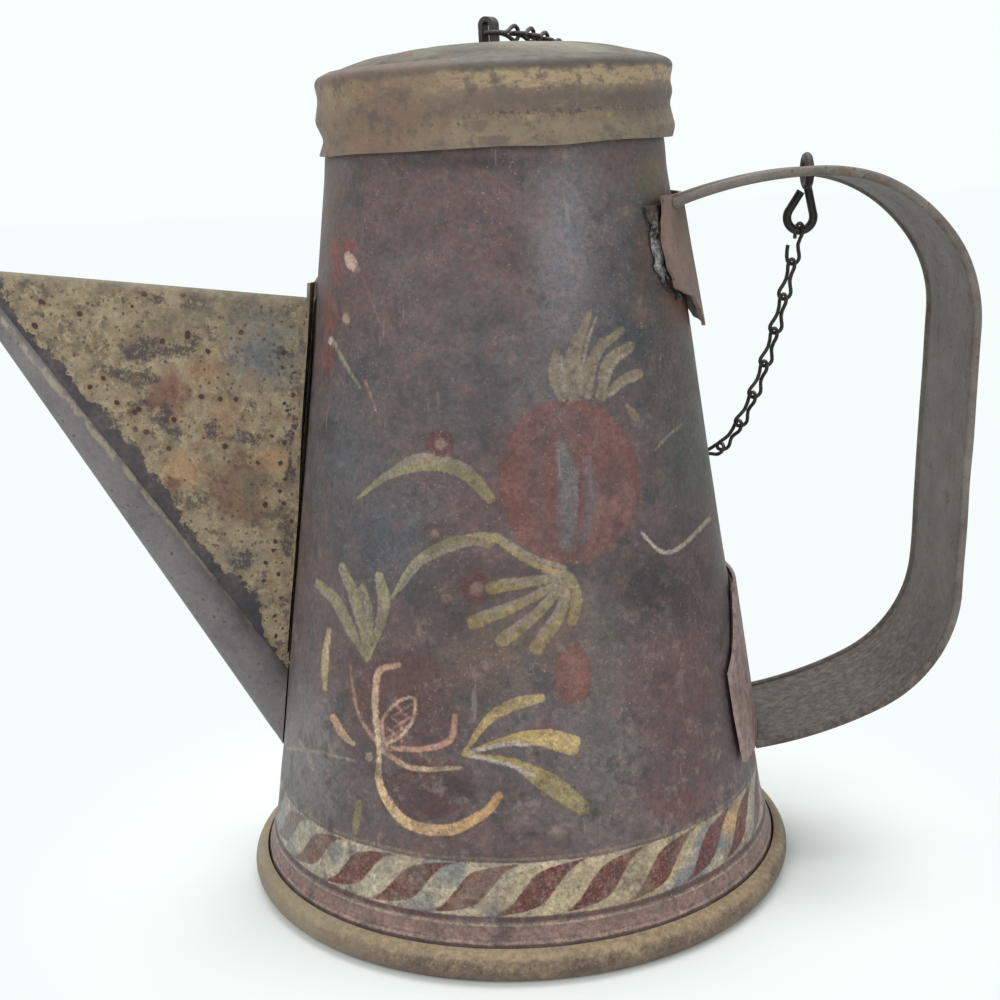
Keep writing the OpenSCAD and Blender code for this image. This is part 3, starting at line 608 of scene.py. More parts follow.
def make_cap():
    """The cap's beaded band with its neck, and the dented dome that is set over the neck."""
    heights = np.concatenate([np.linspace(0, BAND_EDGE, 46), [BAND_EDGE + 0.015, 15, 16.2, BAND_TOP]])

    def band_shape(r, h, a, inset):
        neck = ease(h, BAND_EDGE, BAND_EDGE + 0.01) * (CAP_SHEET + 0.1)
        wavy = (1 - ease(h, 0, 5)) * (bumps(on_wall(h, a), 16, 7) - 0.4) * 0.7
        return wall_r(h, a) - neck - inset * CAP_SHEET, h + wavy

    band = revolve("cap_band_skin", np.column_stack([heights * 0, heights]),
                   np.column_stack([heights[::-1] * 0, heights[::-1]]), CAP_SIDES, band_shape)

    fillet_x = CAP_R - FILLET
    end_a = math.atan(dome_slope(fillet_x))
    fillet_h = dome_h(fillet_x) - FILLET / math.cos(end_a)

    def curve(off):
        arc = np.linspace(0, math.pi / 2 - end_a, 9)
        rim = np.column_stack([fillet_x + (FILLET - off) * np.cos(arc), fillet_h + (FILLET - off) * np.sin(arc)])
        x = np.linspace(fillet_x + FILLET * math.sin(end_a), 0, 56)[1:]
        lean = np.arctan(dome_slope(x))
        top = np.column_stack([x - off * np.sin(lean), dome_h(x) - off * np.cos(lean)])
        wall = np.column_stack([np.full(9, CAP_R - off), np.linspace(TOP_EDGE, fillet_h, 10)[:-1]])
        return np.vstack([wall, rim, top])

    def top_shape(r, h, a, inset):
        p = np.column_stack([r * np.cos(a), r * np.sin(a), 0 * r])
        keep = ease(r, 6, 12) * (1 - ease(r, 38.5, 42.5))
        dent = 0.7 * bumps(p, 15, 31) + 0.25 * bumps(p, 6, 32)
        for x, y, rx, ry, deep in DOME_DENTS:
            dent = dent + deep * np.exp(-((p[:, 0] - x) / rx) ** 2 - ((p[:, 1] - y) / ry) ** 2)
        for x, y, tx, ty, long, deep in DOME_CREASES:
            along = (p[:, 0] - x) * tx + (p[:, 1] - y) * ty
            off = (p[:, 1] - y) * tx - (p[:, 0] - x) * ty
            dent = dent - deep * np.exp(-np.abs(off) / 1.3 - (along / long) ** 2)
        return r + ease(r, 38, 44) * (wall_r(h, a) - CAP_R), h - keep * dent

    outer = curve(0.0)
    inner = curve(CAP_SHEET)[::-1]
    top = revolve("cap_top_skin", outer, inner, CAP_SIDES, top_shape, 60)
    rework(top, lambda bm: bmesh.ops.remove_doubles(bm, verts=bm.verts, dist=2e-7))
    return band, top


# Strap handle: one path in the XZ plane, with the headings of its bends

# Where the strap's ends stop off the cone and off the tab, and how finely it is swept
PLATE_OVER, TAB_OVER, PATH_STEP, STATIONS = 1.9, 1.0, 1.3, 230
TAB_LO, TAB_HI = 150.5, 184.8
STRAP_W, STRAP_SHEET, HEM_R, HEM_Y, STRAP_FLAT = 43.5, 0.9, 1.25, 20.5, 19.2
EYE_X, EYE_Y, EYE_Z, EYE_RING_R, EYE_HOLE_R, HEM_Z = 85.7115, 20.3, 187.923, 3.95, 1.95, 189.123

# By distance from the axis, how much lower the strap's far edge hangs
FAR_DROP = [44, 62, 86, 110, 130], [2.9, 2.4, 1.2, 1.3, 1.4]


def tab_rise(z):
    """How far the tab under the strap's upper end stands off the cone."""
    return 2.6 - (z - TAB_LO) / (TAB_HI - TAB_LO)


def strap_path():
    """Points of the strap's middle line in the XZ plane, each with the way out of its bend."""
    root_r, low_r, top_r, tip_r = 110, 36.0, 40.0, 104
    low_z, crest, low_a, tip_a = 79.6, 189.4, math.radians(26), math.radians(205)
    low_c = np.array([cone_r(low_z) + 22.1, low_z])
    top_c = np.array([cone_r(crest) + 35.9, crest - top_r])
    way = top_c - low_c
    side = math.atan2(way[1], way[0]) + math.asin((low_r - top_r) / np.hypot(*way))
    out = lambda a: np.column_stack([np.sin(a), -np.cos(a)])
    root_c = low_c - (root_r - low_r) * out(np.array([low_a]))[0]
    tip_c = np.array([top_c[0], crest - tip_r])
    rows = []
    for c, r, a0, a1 in ((root_c, root_r, math.radians(4), low_a), (low_c, low_r, low_a, side),
                         (top_c, top_r, side, math.pi), (tip_c, tip_r, math.pi, tip_a)):
        a = np.linspace(a0, a1, max(8, int(r * abs(a1 - a0) / PATH_STEP)))
        rows.append(np.column_stack([c + r * out(a), out(a)]))
    return np.vstack([rows[0][:-1], rows[1], rows[2][:-1], rows[3]])


def strap_piece(name, profile):
    """Sweeps a closed profile of (offset, y) along the strap, coped to the can at both ends."""
    path = strap_path()
    s = np.concatenate([[0], np.cumsum(np.hypot(*np.diff(path[:, :2], axis=0).T))])
    lines = []
    for n, y in profile:
        x, z = path[:, 0] + n * path[:, 2], path[:, 1] + n * path[:, 3]
        r = np.hypot(x, y)
        low = r - cone_r(z) - PLATE_OVER
        high = r - cone_r(z) - tab_rise(z) - TAB_OVER
        i = np.nonzero(low[:len(s) // 3] < 0)[0]
        i = i[-1] if len(i) else 0
        j = np.nonzero(high[2 * len(s) // 3:] < 0)[0]
        j = 2 * len(s) // 3 + j[0] if len(j) else len(s) - 1
        s0 = s[i] + (s[i + 1] - s[i]) * low[i] / (low[i] - low[i + 1])
        s1 = s[j - 1] + (s[j] - s[j - 1]) * high[j - 1] / (high[j - 1] - high[j])
        at = np.linspace(s0, s1, STATIONS)
        lines.append(np.column_stack([np.interp(at, s, x), np.full(STATIONS, y), np.interp(at, s, z)]))
    points = np.stack(lines, axis=1).reshape(-1, 3)
    # along the upper run the far edge hangs lower than the near one, most by the can
    far = 0.5 + points[:, 1] / STRAP_W
    upper = ease(points[:, 2], 150, 178)
    drop = np.interp(points[:, 0], *FAR_DROP)
    points[:, 2] -= upper * far * drop
    uneven = (bumps(points, 12, 41) - 0.66) * ease(points[:, 2], 60, 80)
    points += uneven[:, None] * np.array([0.3, 0.0, 0.3])
    return make_object(name, points, capped_tube(STATIONS, len(profile)), 40)


def make_handle():
    """The strap with the hole for the eye, and its two rolled edges."""
    across = np.linspace(-STRAP_FLAT, STRAP_FLAT, 33)
    half = STRAP_SHEET / 2
    strap = strap_piece("strap_skin", [(half, y) for y in across] + [(-half, y) for y in across[::-1]])
    hole_y = EYE_Y - math.sqrt(EYE_RING_R ** 2 - (HEM_Z - EYE_Z) ** 2)
    cut(strap, rod("hole", (EYE_X, hole_y, HEM_Z - 4), (0, 0, 1), 6, EYE_HOLE_R))
    ring = [(HEM_R * math.cos(a), HEM_R * math.sin(a)) for a in np.linspace(0, 2 * math.pi, 18, endpoint=False)]
    front = strap_piece("hem_front_skin", [(c, s - HEM_Y) for c, s in ring])
    back = strap_piece("hem_back_skin", [(c, s + HEM_Y) for c, s in ring])
    return strap, front, back


# Sheets that lie on the can, with the seen outlines given in pixels

def on_cone(px, py, off):
    """The heading about the axis and the height at which a pixel's ray meets the cone, grown by off."""
    ray = pixel_ray(px, py)
    big = FOOT_R + off - SLOPE * CAM_AT[2]
    a = ray[0] ** 2 + ray[1] ** 2 - (SLOPE * ray[2]) ** 2
    b = CAM_AT[0] * ray[0] + CAM_AT[1] * ray[1] + big * SLOPE * ray[2]
    c = CAM_AT[0] ** 2 + CAM_AT[1] ** 2 - big ** 2
    p = CAM_AT - (b + math.sqrt(max(b * b - a * c, 0))) / a * ray
    return math.atan2(p[1], p[0]), p[2]


def edge_line(pixels, off, z):
    """Headings at heights z along an outline given in pixels."""
    seen = np.array(sorted(on_cone(px, py, off)[::-1] for px, py in pixels))
    return np.interp(z, seen[:, 0], seen[:, 1])


def cone_patch(name, start, end, z, inner, outer, cols):
    """A closed sheet on the cone between two headings at each height; inner and outer give its offsets."""
    t = np.linspace(0, 1, cols)
    heading = start[:, None] * (1 - t) + end[:, None] * t
    height = np.repeat(z[:, None], cols, 1)
    share = np.repeat(t[None], len(z), 0)
    skins = []
    for off in (outer, inner):
        r = cone_r(height) + off(share, height, heading)
        skins.append(np.stack([r * np.cos(heading), r * np.sin(heading), height], -1).reshape(-1, 3))
    rows, count = len(z), len(z) * cols
    faces = grid_faces(rows, cols, False, False)
    faces += [[i + count for i in reversed(face)] for face in faces]
    rim = ([i for i in range(cols)] + [r * cols + cols - 1 for r in range(1, rows)]
           + [(rows - 1) * cols + i for i in range(cols - 2, -1, -1)] + [r * cols for r in range(rows - 2, 0, -1)])
    faces += [[a, b, b + count, a + count] for a, b in zip(rim, rim[1:] + rim[:1])]
    obj = make_object(name, np.vstack(skins), faces, 50)
    rework(obj, lambda bm: bmesh.ops.recalc_face_normals(bm, faces=bm.faces))
    return obj


def surface_noise(height, heading, size, seed):
    """Smooth noise over the cone's surface."""
    p = np.column_stack([(heading * 50).ravel(), height.ravel(), 0 * height.ravel() + 3])
    return bumps(p, size, seed).reshape(height.shape)


def make_tab():
    """The tab that carries the strap's upper end, its near edge curling, and the torn solder bed under it."""
    z = np.linspace(TAB_LO + 0.1, TAB_HI - 0.1, 70)
    front = edge_line([(664, 205), (663, 222), (664, 242), (666, 258), (668, 268), (676, 289), (684, 294), (691, 296),
                       (695, 303), (699, 313), (702, 321)], 3.0, z)
    front = front + (surface_noise(z, front, 2.5, 61) - 0.5) * 0.03
    back = np.interp(z, [150, 156, 160, 170, 185], [0.14, 0.34, 0.5, 0.6, 0.42])

    def off(share, height, heading):
        curl = 0.5 * (1 - ease(share, 0, 0.12)) * ease(height, 152, 160)
        return tab_rise(height) + curl + (surface_noise(height, heading, 9, 62) - 0.3) * 0.35

    tab = cone_patch("upper_tab_skin", front, back, z, off, lambda s, h, a: off(s, h, a) + 0.9, 60)
    z = np.linspace(158.5, 182.6, 90)
    torn = edge_line([(648, 212), (650, 224), (653, 240), (655, 256), (659, 270), (664, 280), (670, 289), (678, 296)],
                     0.8, z)
    torn = torn + (surface_noise(z, torn, 1.6, 63) - 0.5) * 0.07
    under = edge_line([(664, 205), (664, 242), (668, 268), (676, 289), (684, 294)], 3.0, z) + 0.12
    under = np.maximum(under, torn + 0.05)

    def lumps(share, height, heading):
        lump = surface_noise(height, heading, 1.7, 64) * 0.9 + surface_noise(height, heading, 0.8, 65) * 0.4
        return 0.25 + lump * (1 - ease(share, 0.55, 0.8)) + 0.5 * ease(share, 0.55, 0.8)

    bed = cone_patch("upper_tab_solder_skin", torn, under, z, lambda s, h, a: 0.1 + 0 * s, lumps, 44)
    # painted shade for the gap between the torn edge and the tab, read by the solder's material
    tab_gap_shade = np.tile(np.repeat(ease(np.linspace(0, 1, 44), 0.42, 0.62)[None], len(z), 0).ravel(), 2)
    bed.data.attributes.new("tab_gap_shade", "FLOAT", "POINT").data.foreach_set("value", tab_gap_shade.astype(np.float32))
    return tab, bed


def make_flange():
    """The web's front flange: narrow, its free edge standing off the can in the upper part."""
    z = np.linspace(on_cone(304, 688, 1.0)[1], on_cone(318, 287, 1.0)[1], 150)
    r = cone_r(z)
    wide = np.interp(z, [z[0], z[0] + 6, 100, 150, z[-1] - 3, z[-1]], [4, 9, 11.5, 11.5, 9, 5])
    wide = wide + (surface_noise(z, 0 * z, 7, 71) - 0.5) * 1.2

    def off(share, height, heading):
        gap = 0.3 + share * (0.3 + 0.9 * ease(height, 105, 135))
        return gap + (surface_noise(height, heading, 8, 72) - 0.5) * 0.15

    start, end = -math.pi + np.arcsin(2.75 / r), -math.pi + np.arcsin(wide / r)
    return cone_patch("gusset_flange_front_skin", start, end, z, off, lambda s, h, a: off(s, h, a) + 0.8, 16)


# Chain: each link is a wire bent into a figure of eight, its two ends a quarter turn apart

def tube(name, line, radius, closed, sides=10):
    """A round wire along a line."""
    n = len(line)
    ahead = np.roll(line, -1, 0) - np.roll(line, 1, 0)
    if not closed:
        ahead[0], ahead[-1] = line[1] - line[0], line[-1] - line[-2]
    ahead /= np.linalg.norm(ahead, axis=1)[:, None]
    side = np.cross(ahead[0], [0.3, 0.5, 0.81])
    rings = []
    turn = np.linspace(0, 2 * math.pi, sides, endpoint=False)
    for i in range(n):
        side = side - (side @ ahead[i]) * ahead[i]
        side /= np.linalg.norm(side)
        other = np.cross(ahead[i], side)
        rings.append(line[i] + radius * (np.cos(turn)[:, None] * side + np.sin(turn)[:, None] * other))
    faces = capped_tube(n, sides)
    if closed:
        k = int(np.argmin([np.linalg.norm(rings[-1] - np.roll(rings[0], -k, 0)) for k in range(sides)]))
        last = (n - 1) * sides
        faces[-2:] = [[last + i, last + (i + 1) % sides, (i + 1 + k) % sides, (i + k) % sides] for i in range(sides)]
    return make_object(name, np.vstack(rings), faces, 60)


def half_link(r, c):
    """Half-widths and heights from a link's end to its waist."""
    lean = math.asin(r / c)
    arc = np.linspace(math.pi / 2, -lean, 17)
    w, z = r * np.cos(arc), c + r * np.sin(arc)
    down = np.linspace(z[-1], 0, 9)[1:]
    return np.concatenate([w, np.hypot(down * math.tan(lean), WIRE_R + 0.02)]), np.concatenate([z, down])


def link_line(r_to, c_to, r_from, c_from):
    """The closed line of a link along its own axis, from the end towards the next link to the other."""
    w0, z0 = half_link(r_to, c_to)
    w1, z1 = half_link(r_from, c_from)
    w = np.concatenate([w0, w1[::-1][1:]])
    z = np.concatenate([z0, -z1[::-1][1:]])
    quarter = math.pi / 2 * ease(-z, -2.2, 2.2)
    strand = np.column_stack([w * np.cos(quarter), w * np.sin(quarter), z])
    other = (strand * [-1, -1, 1])[::-1][1:-1]
    return np.vstack([strand, other])


def link_frame(name, towards):
    """A link's middle and its axes, read off its solid."""
    mesh = nodes[name].data
    co = np.array([v.co for v in mesh.vertices], float) / MM
    tri = np.array([p.vertices[:3] for p in mesh.polygons])
    a, b, c = co[tri[:, 0]], co[tri[:, 1]], co[tri[:, 2]]
    area = np.linalg.norm(np.cross(b - a, c - a), axis=1)
    centre = (a + b + c) / 3
    mid = (centre * area[:, None]).sum(0) / area.sum()
    q = centre - mid
    t = np.linalg.svd(q * np.sqrt(area)[:, None], full_matrices=False)[2][0]
    if t @ (towards - mid) < 0:
        t = -t
    h = (co - mid) @ t
    mid = mid + t * (h.max() + h.min()) / 2
    q = centre - mid
    end = (q @ t) > 2
    flat = q[end] - (q[end] @ t)[:, None] * t
    x = np.linalg.svd(flat * np.sqrt(area[end])[:, None], full_matrices=False)[2][0]
    return mid, x, np.cross(t, x), t


# The first link's open loop: the stretch that is cut out, where the bend starts, and how far the end stands off
HOOK_FROM, HOOK_TO, HOOK_ROOT, HOOK_SPREAD = -1.2, 0.4, 4.6, 1.5


def open_hook(line, mid, t):
    """Parts a link's lower loop at the waist, on its left side, and bends the free end outward."""
    along = (line - mid) @ t
    strand = np.arange(len(line)) < (len(line) + 2) // 2
    left = strand if line[strand & (along > 2), 0].mean() < mid[0] else ~strand
    outward = np.array([-1.0, 0, 0]) + t[0] * t
    bend = HOOK_SPREAD * ease(HOOK_ROOT - along, 0, HOOK_ROOT - HOOK_TO) * (left & (along > 0))
    line = line + bend[:, None] * outward
    gone = np.nonzero(left & (along > HOOK_FROM) & (along < HOOK_TO))[0]
    return np.roll(line, -(gone[-1] + 1), axis=0)[:-len(gone)]


LINK_COUNT, HANG_LINKS, LID_FROM = 26, 8, 21
# Half a link's length and the radius of its ends; the loops in the eye and in the cap's loop have their own
HALF_LINK, LINK_END, EYE_END, CAP_END, CAP_REACH = 5.7, 1.85, 2.15, 1.9, 6.0


def make_chain(material):
    """Wire links in place of the solids, the first with its lower loop open."""
    names = [f"chain_link_{i:02d}" for i in range(1, LINK_COUNT + 1)]
    mids = []
    for name in names:
        lo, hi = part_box(name)
        mids.append((np.array(lo) + np.array(hi)) / 2 / MM)
    for i, name in enumerate(names):
        towards = mids[i + 1] if i + 1 < LINK_COUNT else 2 * mids[i] - mids[i - 1]
        mid, x, y, t = link_frame(name, towards)
        first, last = i == 0, i == LINK_COUNT - 1
        r_to, c_to = (CAP_END, CAP_REACH) if last else (LINK_END, HALF_LINK - LINK_END)
        r_from = EYE_END if first else LINK_END
        line = link_line(r_to, c_to, r_from, HALF_LINK - r_from)
        if last:
            low, high = line[:, 2].min(), line[:, 2].max()
            line = line - [0, 0, (low + high) / 2]
        line = mid + line[:, :1] * x + line[:, 1:2] * y + line[:, 2:3] * t
        if first:
            line = open_hook(line, mid, t)
        link = tube(name + "_wire", line, WIRE_R, closed=not first)
        link.data.materials.append(material)
        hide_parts(name)
        if i < HANG_LINKS:
            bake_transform(link)
        elif i < LID_FROM - 1:
            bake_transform(link)
        else:
            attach(link, "cap")


# Materials

class Paint:
    """A node material; every pattern is placed by the object's own coordinates in millimetres."""

    def __init__(self, name, metallic=0.0, specular=0.4):
        self.material = bpy.data.materials.new(name)
        self.material.use_nodes = True
        self.tree = self.material.node_tree
        self.shader = self.tree.nodes["Principled BSDF"]
        self.shader.inputs["Metallic"].default_value = metallic
        self.shader.inputs["Specular IOR Level"].default_value = specular
        coords = self.add("ShaderNodeTexCoord").outputs["Object"]
        self.mm = self.vector("SCALE", coords, scale=1000.0)
        self.axes = self.colour = self.rough = self.height = None
        self.bump = 0.35

    def add(self, kind, **settings):
        node = self.tree.nodes.new(kind)
        for key, value in settings.items():
            setattr(node, key, value)
        return node

    def put(self, socket, value):
        if isinstance(value, bpy.types.NodeSocket):
            self.tree.links.new(value, socket)
        elif isinstance(value, tuple) and len(value) == 3 and socket.type == "RGBA":
            socket.default_value = (*linear(value), 1.0)
        else:
            socket.default_value = value

    def vector(self, operation, a, b=None, scale=None):
        node = self.add("ShaderNodeVectorMath", operation=operation)
        self.put(node.inputs[0], a)
        if b is not None:
            self.put(node.inputs[1], b)
        if scale is not None:
            node.inputs["Scale"].default_value = scale
        return node.outputs["Value"] if operation in ("DOT_PRODUCT", "LENGTH") else node.outputs[0]

    def math(self, operation, a, b=None, c=None):
        node = self.add("ShaderNodeMath", operation=operation)
        for socket, value in zip(node.inputs, (a, b, c)):
            if value is not None:
                self.put(socket, value)
        return node.outputs[0]

    def mul(self, first, *others):
        for value in others:
            first = self.math("MULTIPLY", first, value)
        return first

    def plus(self, value, times, base):
        return self.math("MULTIPLY_ADD", value, times, base)

    def sway(self, pattern, times, base=None, middle=0.5):
        """A pattern about its middle, times a factor, on top of the base if there is one."""
        off = self.math("SUBTRACT", pattern, middle)
        return self.mul(off, times) if base is None else self.plus(off, times, base)

    def axis(self, name):
        if not self.axes:
            self.axes = self.add("ShaderNodeSeparateXYZ")
            self.put(self.axes.inputs[0], self.mm)
        return self.axes.outputs[name]

    def far(self, centre, scale, at=None):
        """Distance from a centre, each axis scaled."""
        off = self.vector("SUBTRACT", at or self.mm, tuple(centre))
        return self.vector("LENGTH", self.vector("MULTIPLY", off, scale))

    def from_axis(self):
        return self.vector("LENGTH", self.vector("MULTIPLY", self.mm, (1.0, 1.0, 0.0)))

    def beyond(self, start, end, y):
        """Distance above the line that joins two pixels' points in the plane at y."""
        a, b = on_plane_y(*start, y), on_plane_y(*end, y)
        way = (b - a) / np.linalg.norm(b - a)
        square = np.array([-way[2], 0, way[0]])
        return self.math("SUBTRACT", self.vector("DOT_PRODUCT", self.mm, tuple(square)), float(square @ a))

    def texture(self, kind, at, output, **inputs):
        node = self.add("ShaderNodeTex" + kind)
        self.put(node.inputs["Vector"], at)
        for key, value in inputs.items():
            node.inputs[key].default_value = value
        return node.outputs[output]

    def noise(self, scale, detail=5.0, rough=0.6, shift=0.0, stretch=None, output="Fac"):
        at = self.mm
        if stretch:
            at = self.vector("MULTIPLY", at, stretch)
        if shift:
            at = self.vector("ADD", at, (shift, shift * 0.7, -shift))
        return self.texture("Noise", at, output, Scale=scale, Detail=detail, Roughness=rough)

    def spots(self, scale, shift=0.0, warp=0.35):
        """Distance from scattered points, in cells."""
        at = self.vector("ADD", self.mm, (shift, -shift, shift * 0.3))
        wave = self.texture("Noise", at, "Color", Scale=scale * 2.2)
        at = self.vector("ADD", at, self.vector("SCALE", wave, scale=warp / scale))
        return self.texture("Voronoi", at, "Distance", Scale=scale)

    def step(self, value, lo, hi, out_lo=0.0, out_hi=1.0):
        node = self.add("ShaderNodeMapRange", interpolation_type="SMOOTHSTEP")
        for socket, v in zip(node.inputs, (value, lo, hi, out_lo, out_hi)):
            self.put(socket, v)
        return node.outputs[0]

    def below(self, value, lo, hi):
        return self.step(value, lo, hi, 1, 0)

    def band(self, value, a, b, c, d):
        """All between b and c, nothing below a or above d."""
        return self.mul(self.step(value, a, b), self.below(value, c, d))

    def patch(self, scale, detail, rough, shift, *steps):
        return self.step(self.noise(scale, detail, rough, shift), *steps)

    def ramp(self, value, *stops):
        """Colours at positions from 0 to 1, each stop a position and its colour."""
        node = self.add("ShaderNodeValToRGB")
        self.put(node.inputs[0], value)
        band = node.color_ramp
        while len(band.elements) < len(stops):
            band.elements.new(0.5)
        for element, (at, *colour) in zip(band.elements, stops):
            element.position = at
            element.color = (*linear(colour), 1.0)
        return node.outputs[0]

    def mix(self, share, a, b, blend="MIX"):
        node = self.add("ShaderNodeMix", data_type="RGBA", blend_type=blend)
        for socket, value in zip((node.inputs[0], node.inputs[6], node.inputs[7]), (share, a, b)):
            self.put(socket, value)
        return node.outputs[2]

    def coat(self, share, colour, blend="MIX"):
        self.colour = self.mix(share, self.colour, colour, blend)

    def shade(self, colour, pattern, depth):
        """Darkens and lightens a colour by a pattern about one half."""
        node = self.add("ShaderNodeHueSaturation")
        self.put(node.inputs["Color"], colour)
        self.put(node.inputs["Value"], self.step(pattern, 0.25, 0.75, 1 - depth, 1 + depth))
        return node.outputs[0]

    def dapple(self, pattern, depth):
        self.colour = self.shade(self.colour, pattern, depth)

    def attribute(self, name):
        return self.add("ShaderNodeAttribute", attribute_name=name).outputs

    def finish(self, distance=0.0003):
        self.put(self.shader.inputs["Base Color"], self.colour)
        self.put(self.shader.inputs["Roughness"], self.rough)
        if self.height is not None:
            node = self.add("ShaderNodeBump")
            node.inputs["Strength"].default_value = self.bump
            node.inputs["Distance"].default_value = distance
            self.put(node.inputs["Height"], self.height)
            self.put(self.shader.inputs["Normal"], node.outputs[0])
        return self.material


def body_paint(name="body_paint", painted=True):
    """Worn brown paint; the painted ornament and the broad tones, among them painted highlight and shade, come from the
    mesh's own attributes.
    """
    p = Paint(name, specular=0.3)
    mottle, fine = p.noise(0.13, 8, 0.66, 7), p.noise(0.75, 7, 0.7, 3)
    p.colour = p.ramp(p.noise(0.022, 4, 0.55, 40), (0.30, 84, 74, 75), (0.46, 100, 83, 81), (0.58, 96, 86, 86),
                      (0.72, 116, 109, 107))
    if painted:
        # broad tones, among them a painted highlight streak and painted shade
        tone = p.attribute("tone")
        p.coat(tone["Alpha"], tone["Color"])
    p.coat(p.step(mottle, 0.54, 0.70, 0, 0.5), (106, 80, 77))
    p.coat(p.patch(0.10, 7, 0.62, 60, 0.54, 0.68, 0, 0.75), (74, 71, 75))
    p.coat(p.patch(0.2, 8, 0.7, 90, 0.58, 0.70, 0, 0.5), (126, 118, 112))
    grain = p.noise(0.55, 5, 0.72, 103)
    p.coat(1.0, p.ramp(grain, (0.38, 218, 228, 232), (0.5, 240, 240, 240), (0.62, 255, 240, 235)), "MULTIPLY")
    if painted:
        wear, rub, thin = p.noise(0.42, 8, 0.72, 21), p.noise(1.3, 5, 0.68, 35), p.noise(0.09, 4, 0.6, 55)
        for name, edge, keep in (("ink_ground", 0.36, 0.92), ("ink_top", 0.40, 1.0)):
            ink, thick = p.attribute(name), p.attribute(name + "_thick")
            ragged = p.sway(rub, 0.3, p.sway(wear, edge, ink["Alpha"]))
            cover = p.mul(p.step(ragged, 0.41, 0.66), p.mul(thick["Fac"], keep),
                          p.step(rub, 0.33, 0.52, 0.5, 1.0), p.step(thin, 0.34, 0.54, 0.68, 1.0))
            p.coat(cover, p.shade(ink["Color"], fine, 0.16))
    low = p.step(p.axis("Z"), 34.0, 118.0, 1, 0.25)
    p.coat(p.mul(p.patch(0.19, 8, 0.72, 121, 0.52, 0.66, 0, 0.6), low), (132, 116, 110))
    p.coat(p.mul(p.patch(0.15, 8, 0.7, 133, 0.53, 0.66, 0, 0.65), low), (66, 55, 58))
    p.dapple(mottle, 0.24)
    p.dapple(fine, 0.24)
    flecks = p.mul(p.patch(1.5, 4, 0.65, 70, 0.60, 0.68, 0, 0.6), p.patch(0.07, 6, 0.7, 83, 0.44, 0.60, 0.12, 1.0))
    p.coat(flecks, (160, 142, 124))
    p.coat(p.patch(1.2, 4, 0.65, 113, 0.61, 0.68, 0, 0.5), (62, 52, 54))
    pits = p.mul(p.below(p.spots(0.55, 5), 0.10, 0.22), p.patch(0.06, 3, 0.5, 15, 0.50, 0.62))
    p.coat(p.mul(pits, 0.5), (70, 58, 56))
    # faint pale vertical streaks: a painted highlight
    p.coat(p.step(p.noise(0.5, 3, 0.5, 25, stretch=(1, 1, 0.09)), 0.70, 0.76, 0, 0.35), (150, 138, 130))
    p.rough = p.step(mottle, 0.3, 0.7, 0.46, 0.66)
    p.height = p.plus(pits, -0.6, p.plus(fine, 0.5, p.mul(p.noise(2.6, 4, 0.6, 12), 0.2)))
    return p.finish(0.00025)


def mottled(name, stops, speck, dark, scale=1.0, rough=(0.5, 0.72), metallic=0.0, bump=0.4, seed=0.0,
            speck_at=(0.60, 0.70), rust=None):
    """Worn paint or metal: broad tone, mottling, pale specks, dark pits and, if asked, rust."""
    p = Paint(name, metallic)
    mid, fine = p.noise(0.28 * scale, 7, 0.68, 31 + seed), p.noise(1.1 * scale, 6, 0.7, 51 + seed)
    broad = p.mul(p.noise(0.05 * scale, 5, 0.6, 11 + seed), 0.55)
    p.colour = p.ramp(p.plus(mid, 0.45, broad), *stops)
    if rust:
        p.coat(p.patch(0.12 * scale, 7, 0.66, 91 + seed, 0.54, 0.66, 0, 0.8), rust)
    p.coat(p.patch(0.9 * scale, 5, 0.65, 71 + seed, *speck_at, 0, 0.7), speck)
    pits = p.mul(p.below(p.spots(0.42 * scale, 8 + seed), 0.12, 0.26), p.step(mid, 0.44, 0.58))
    p.coat(p.mul(pits, 0.75), dark)
    p.dapple(fine, 0.14)
    p.height = p.plus(pits, -0.8, p.mul(fine, 0.6))
    p.rough, p.bump = p.step(mid, 0.3, 0.7, *rough), bump
    return p


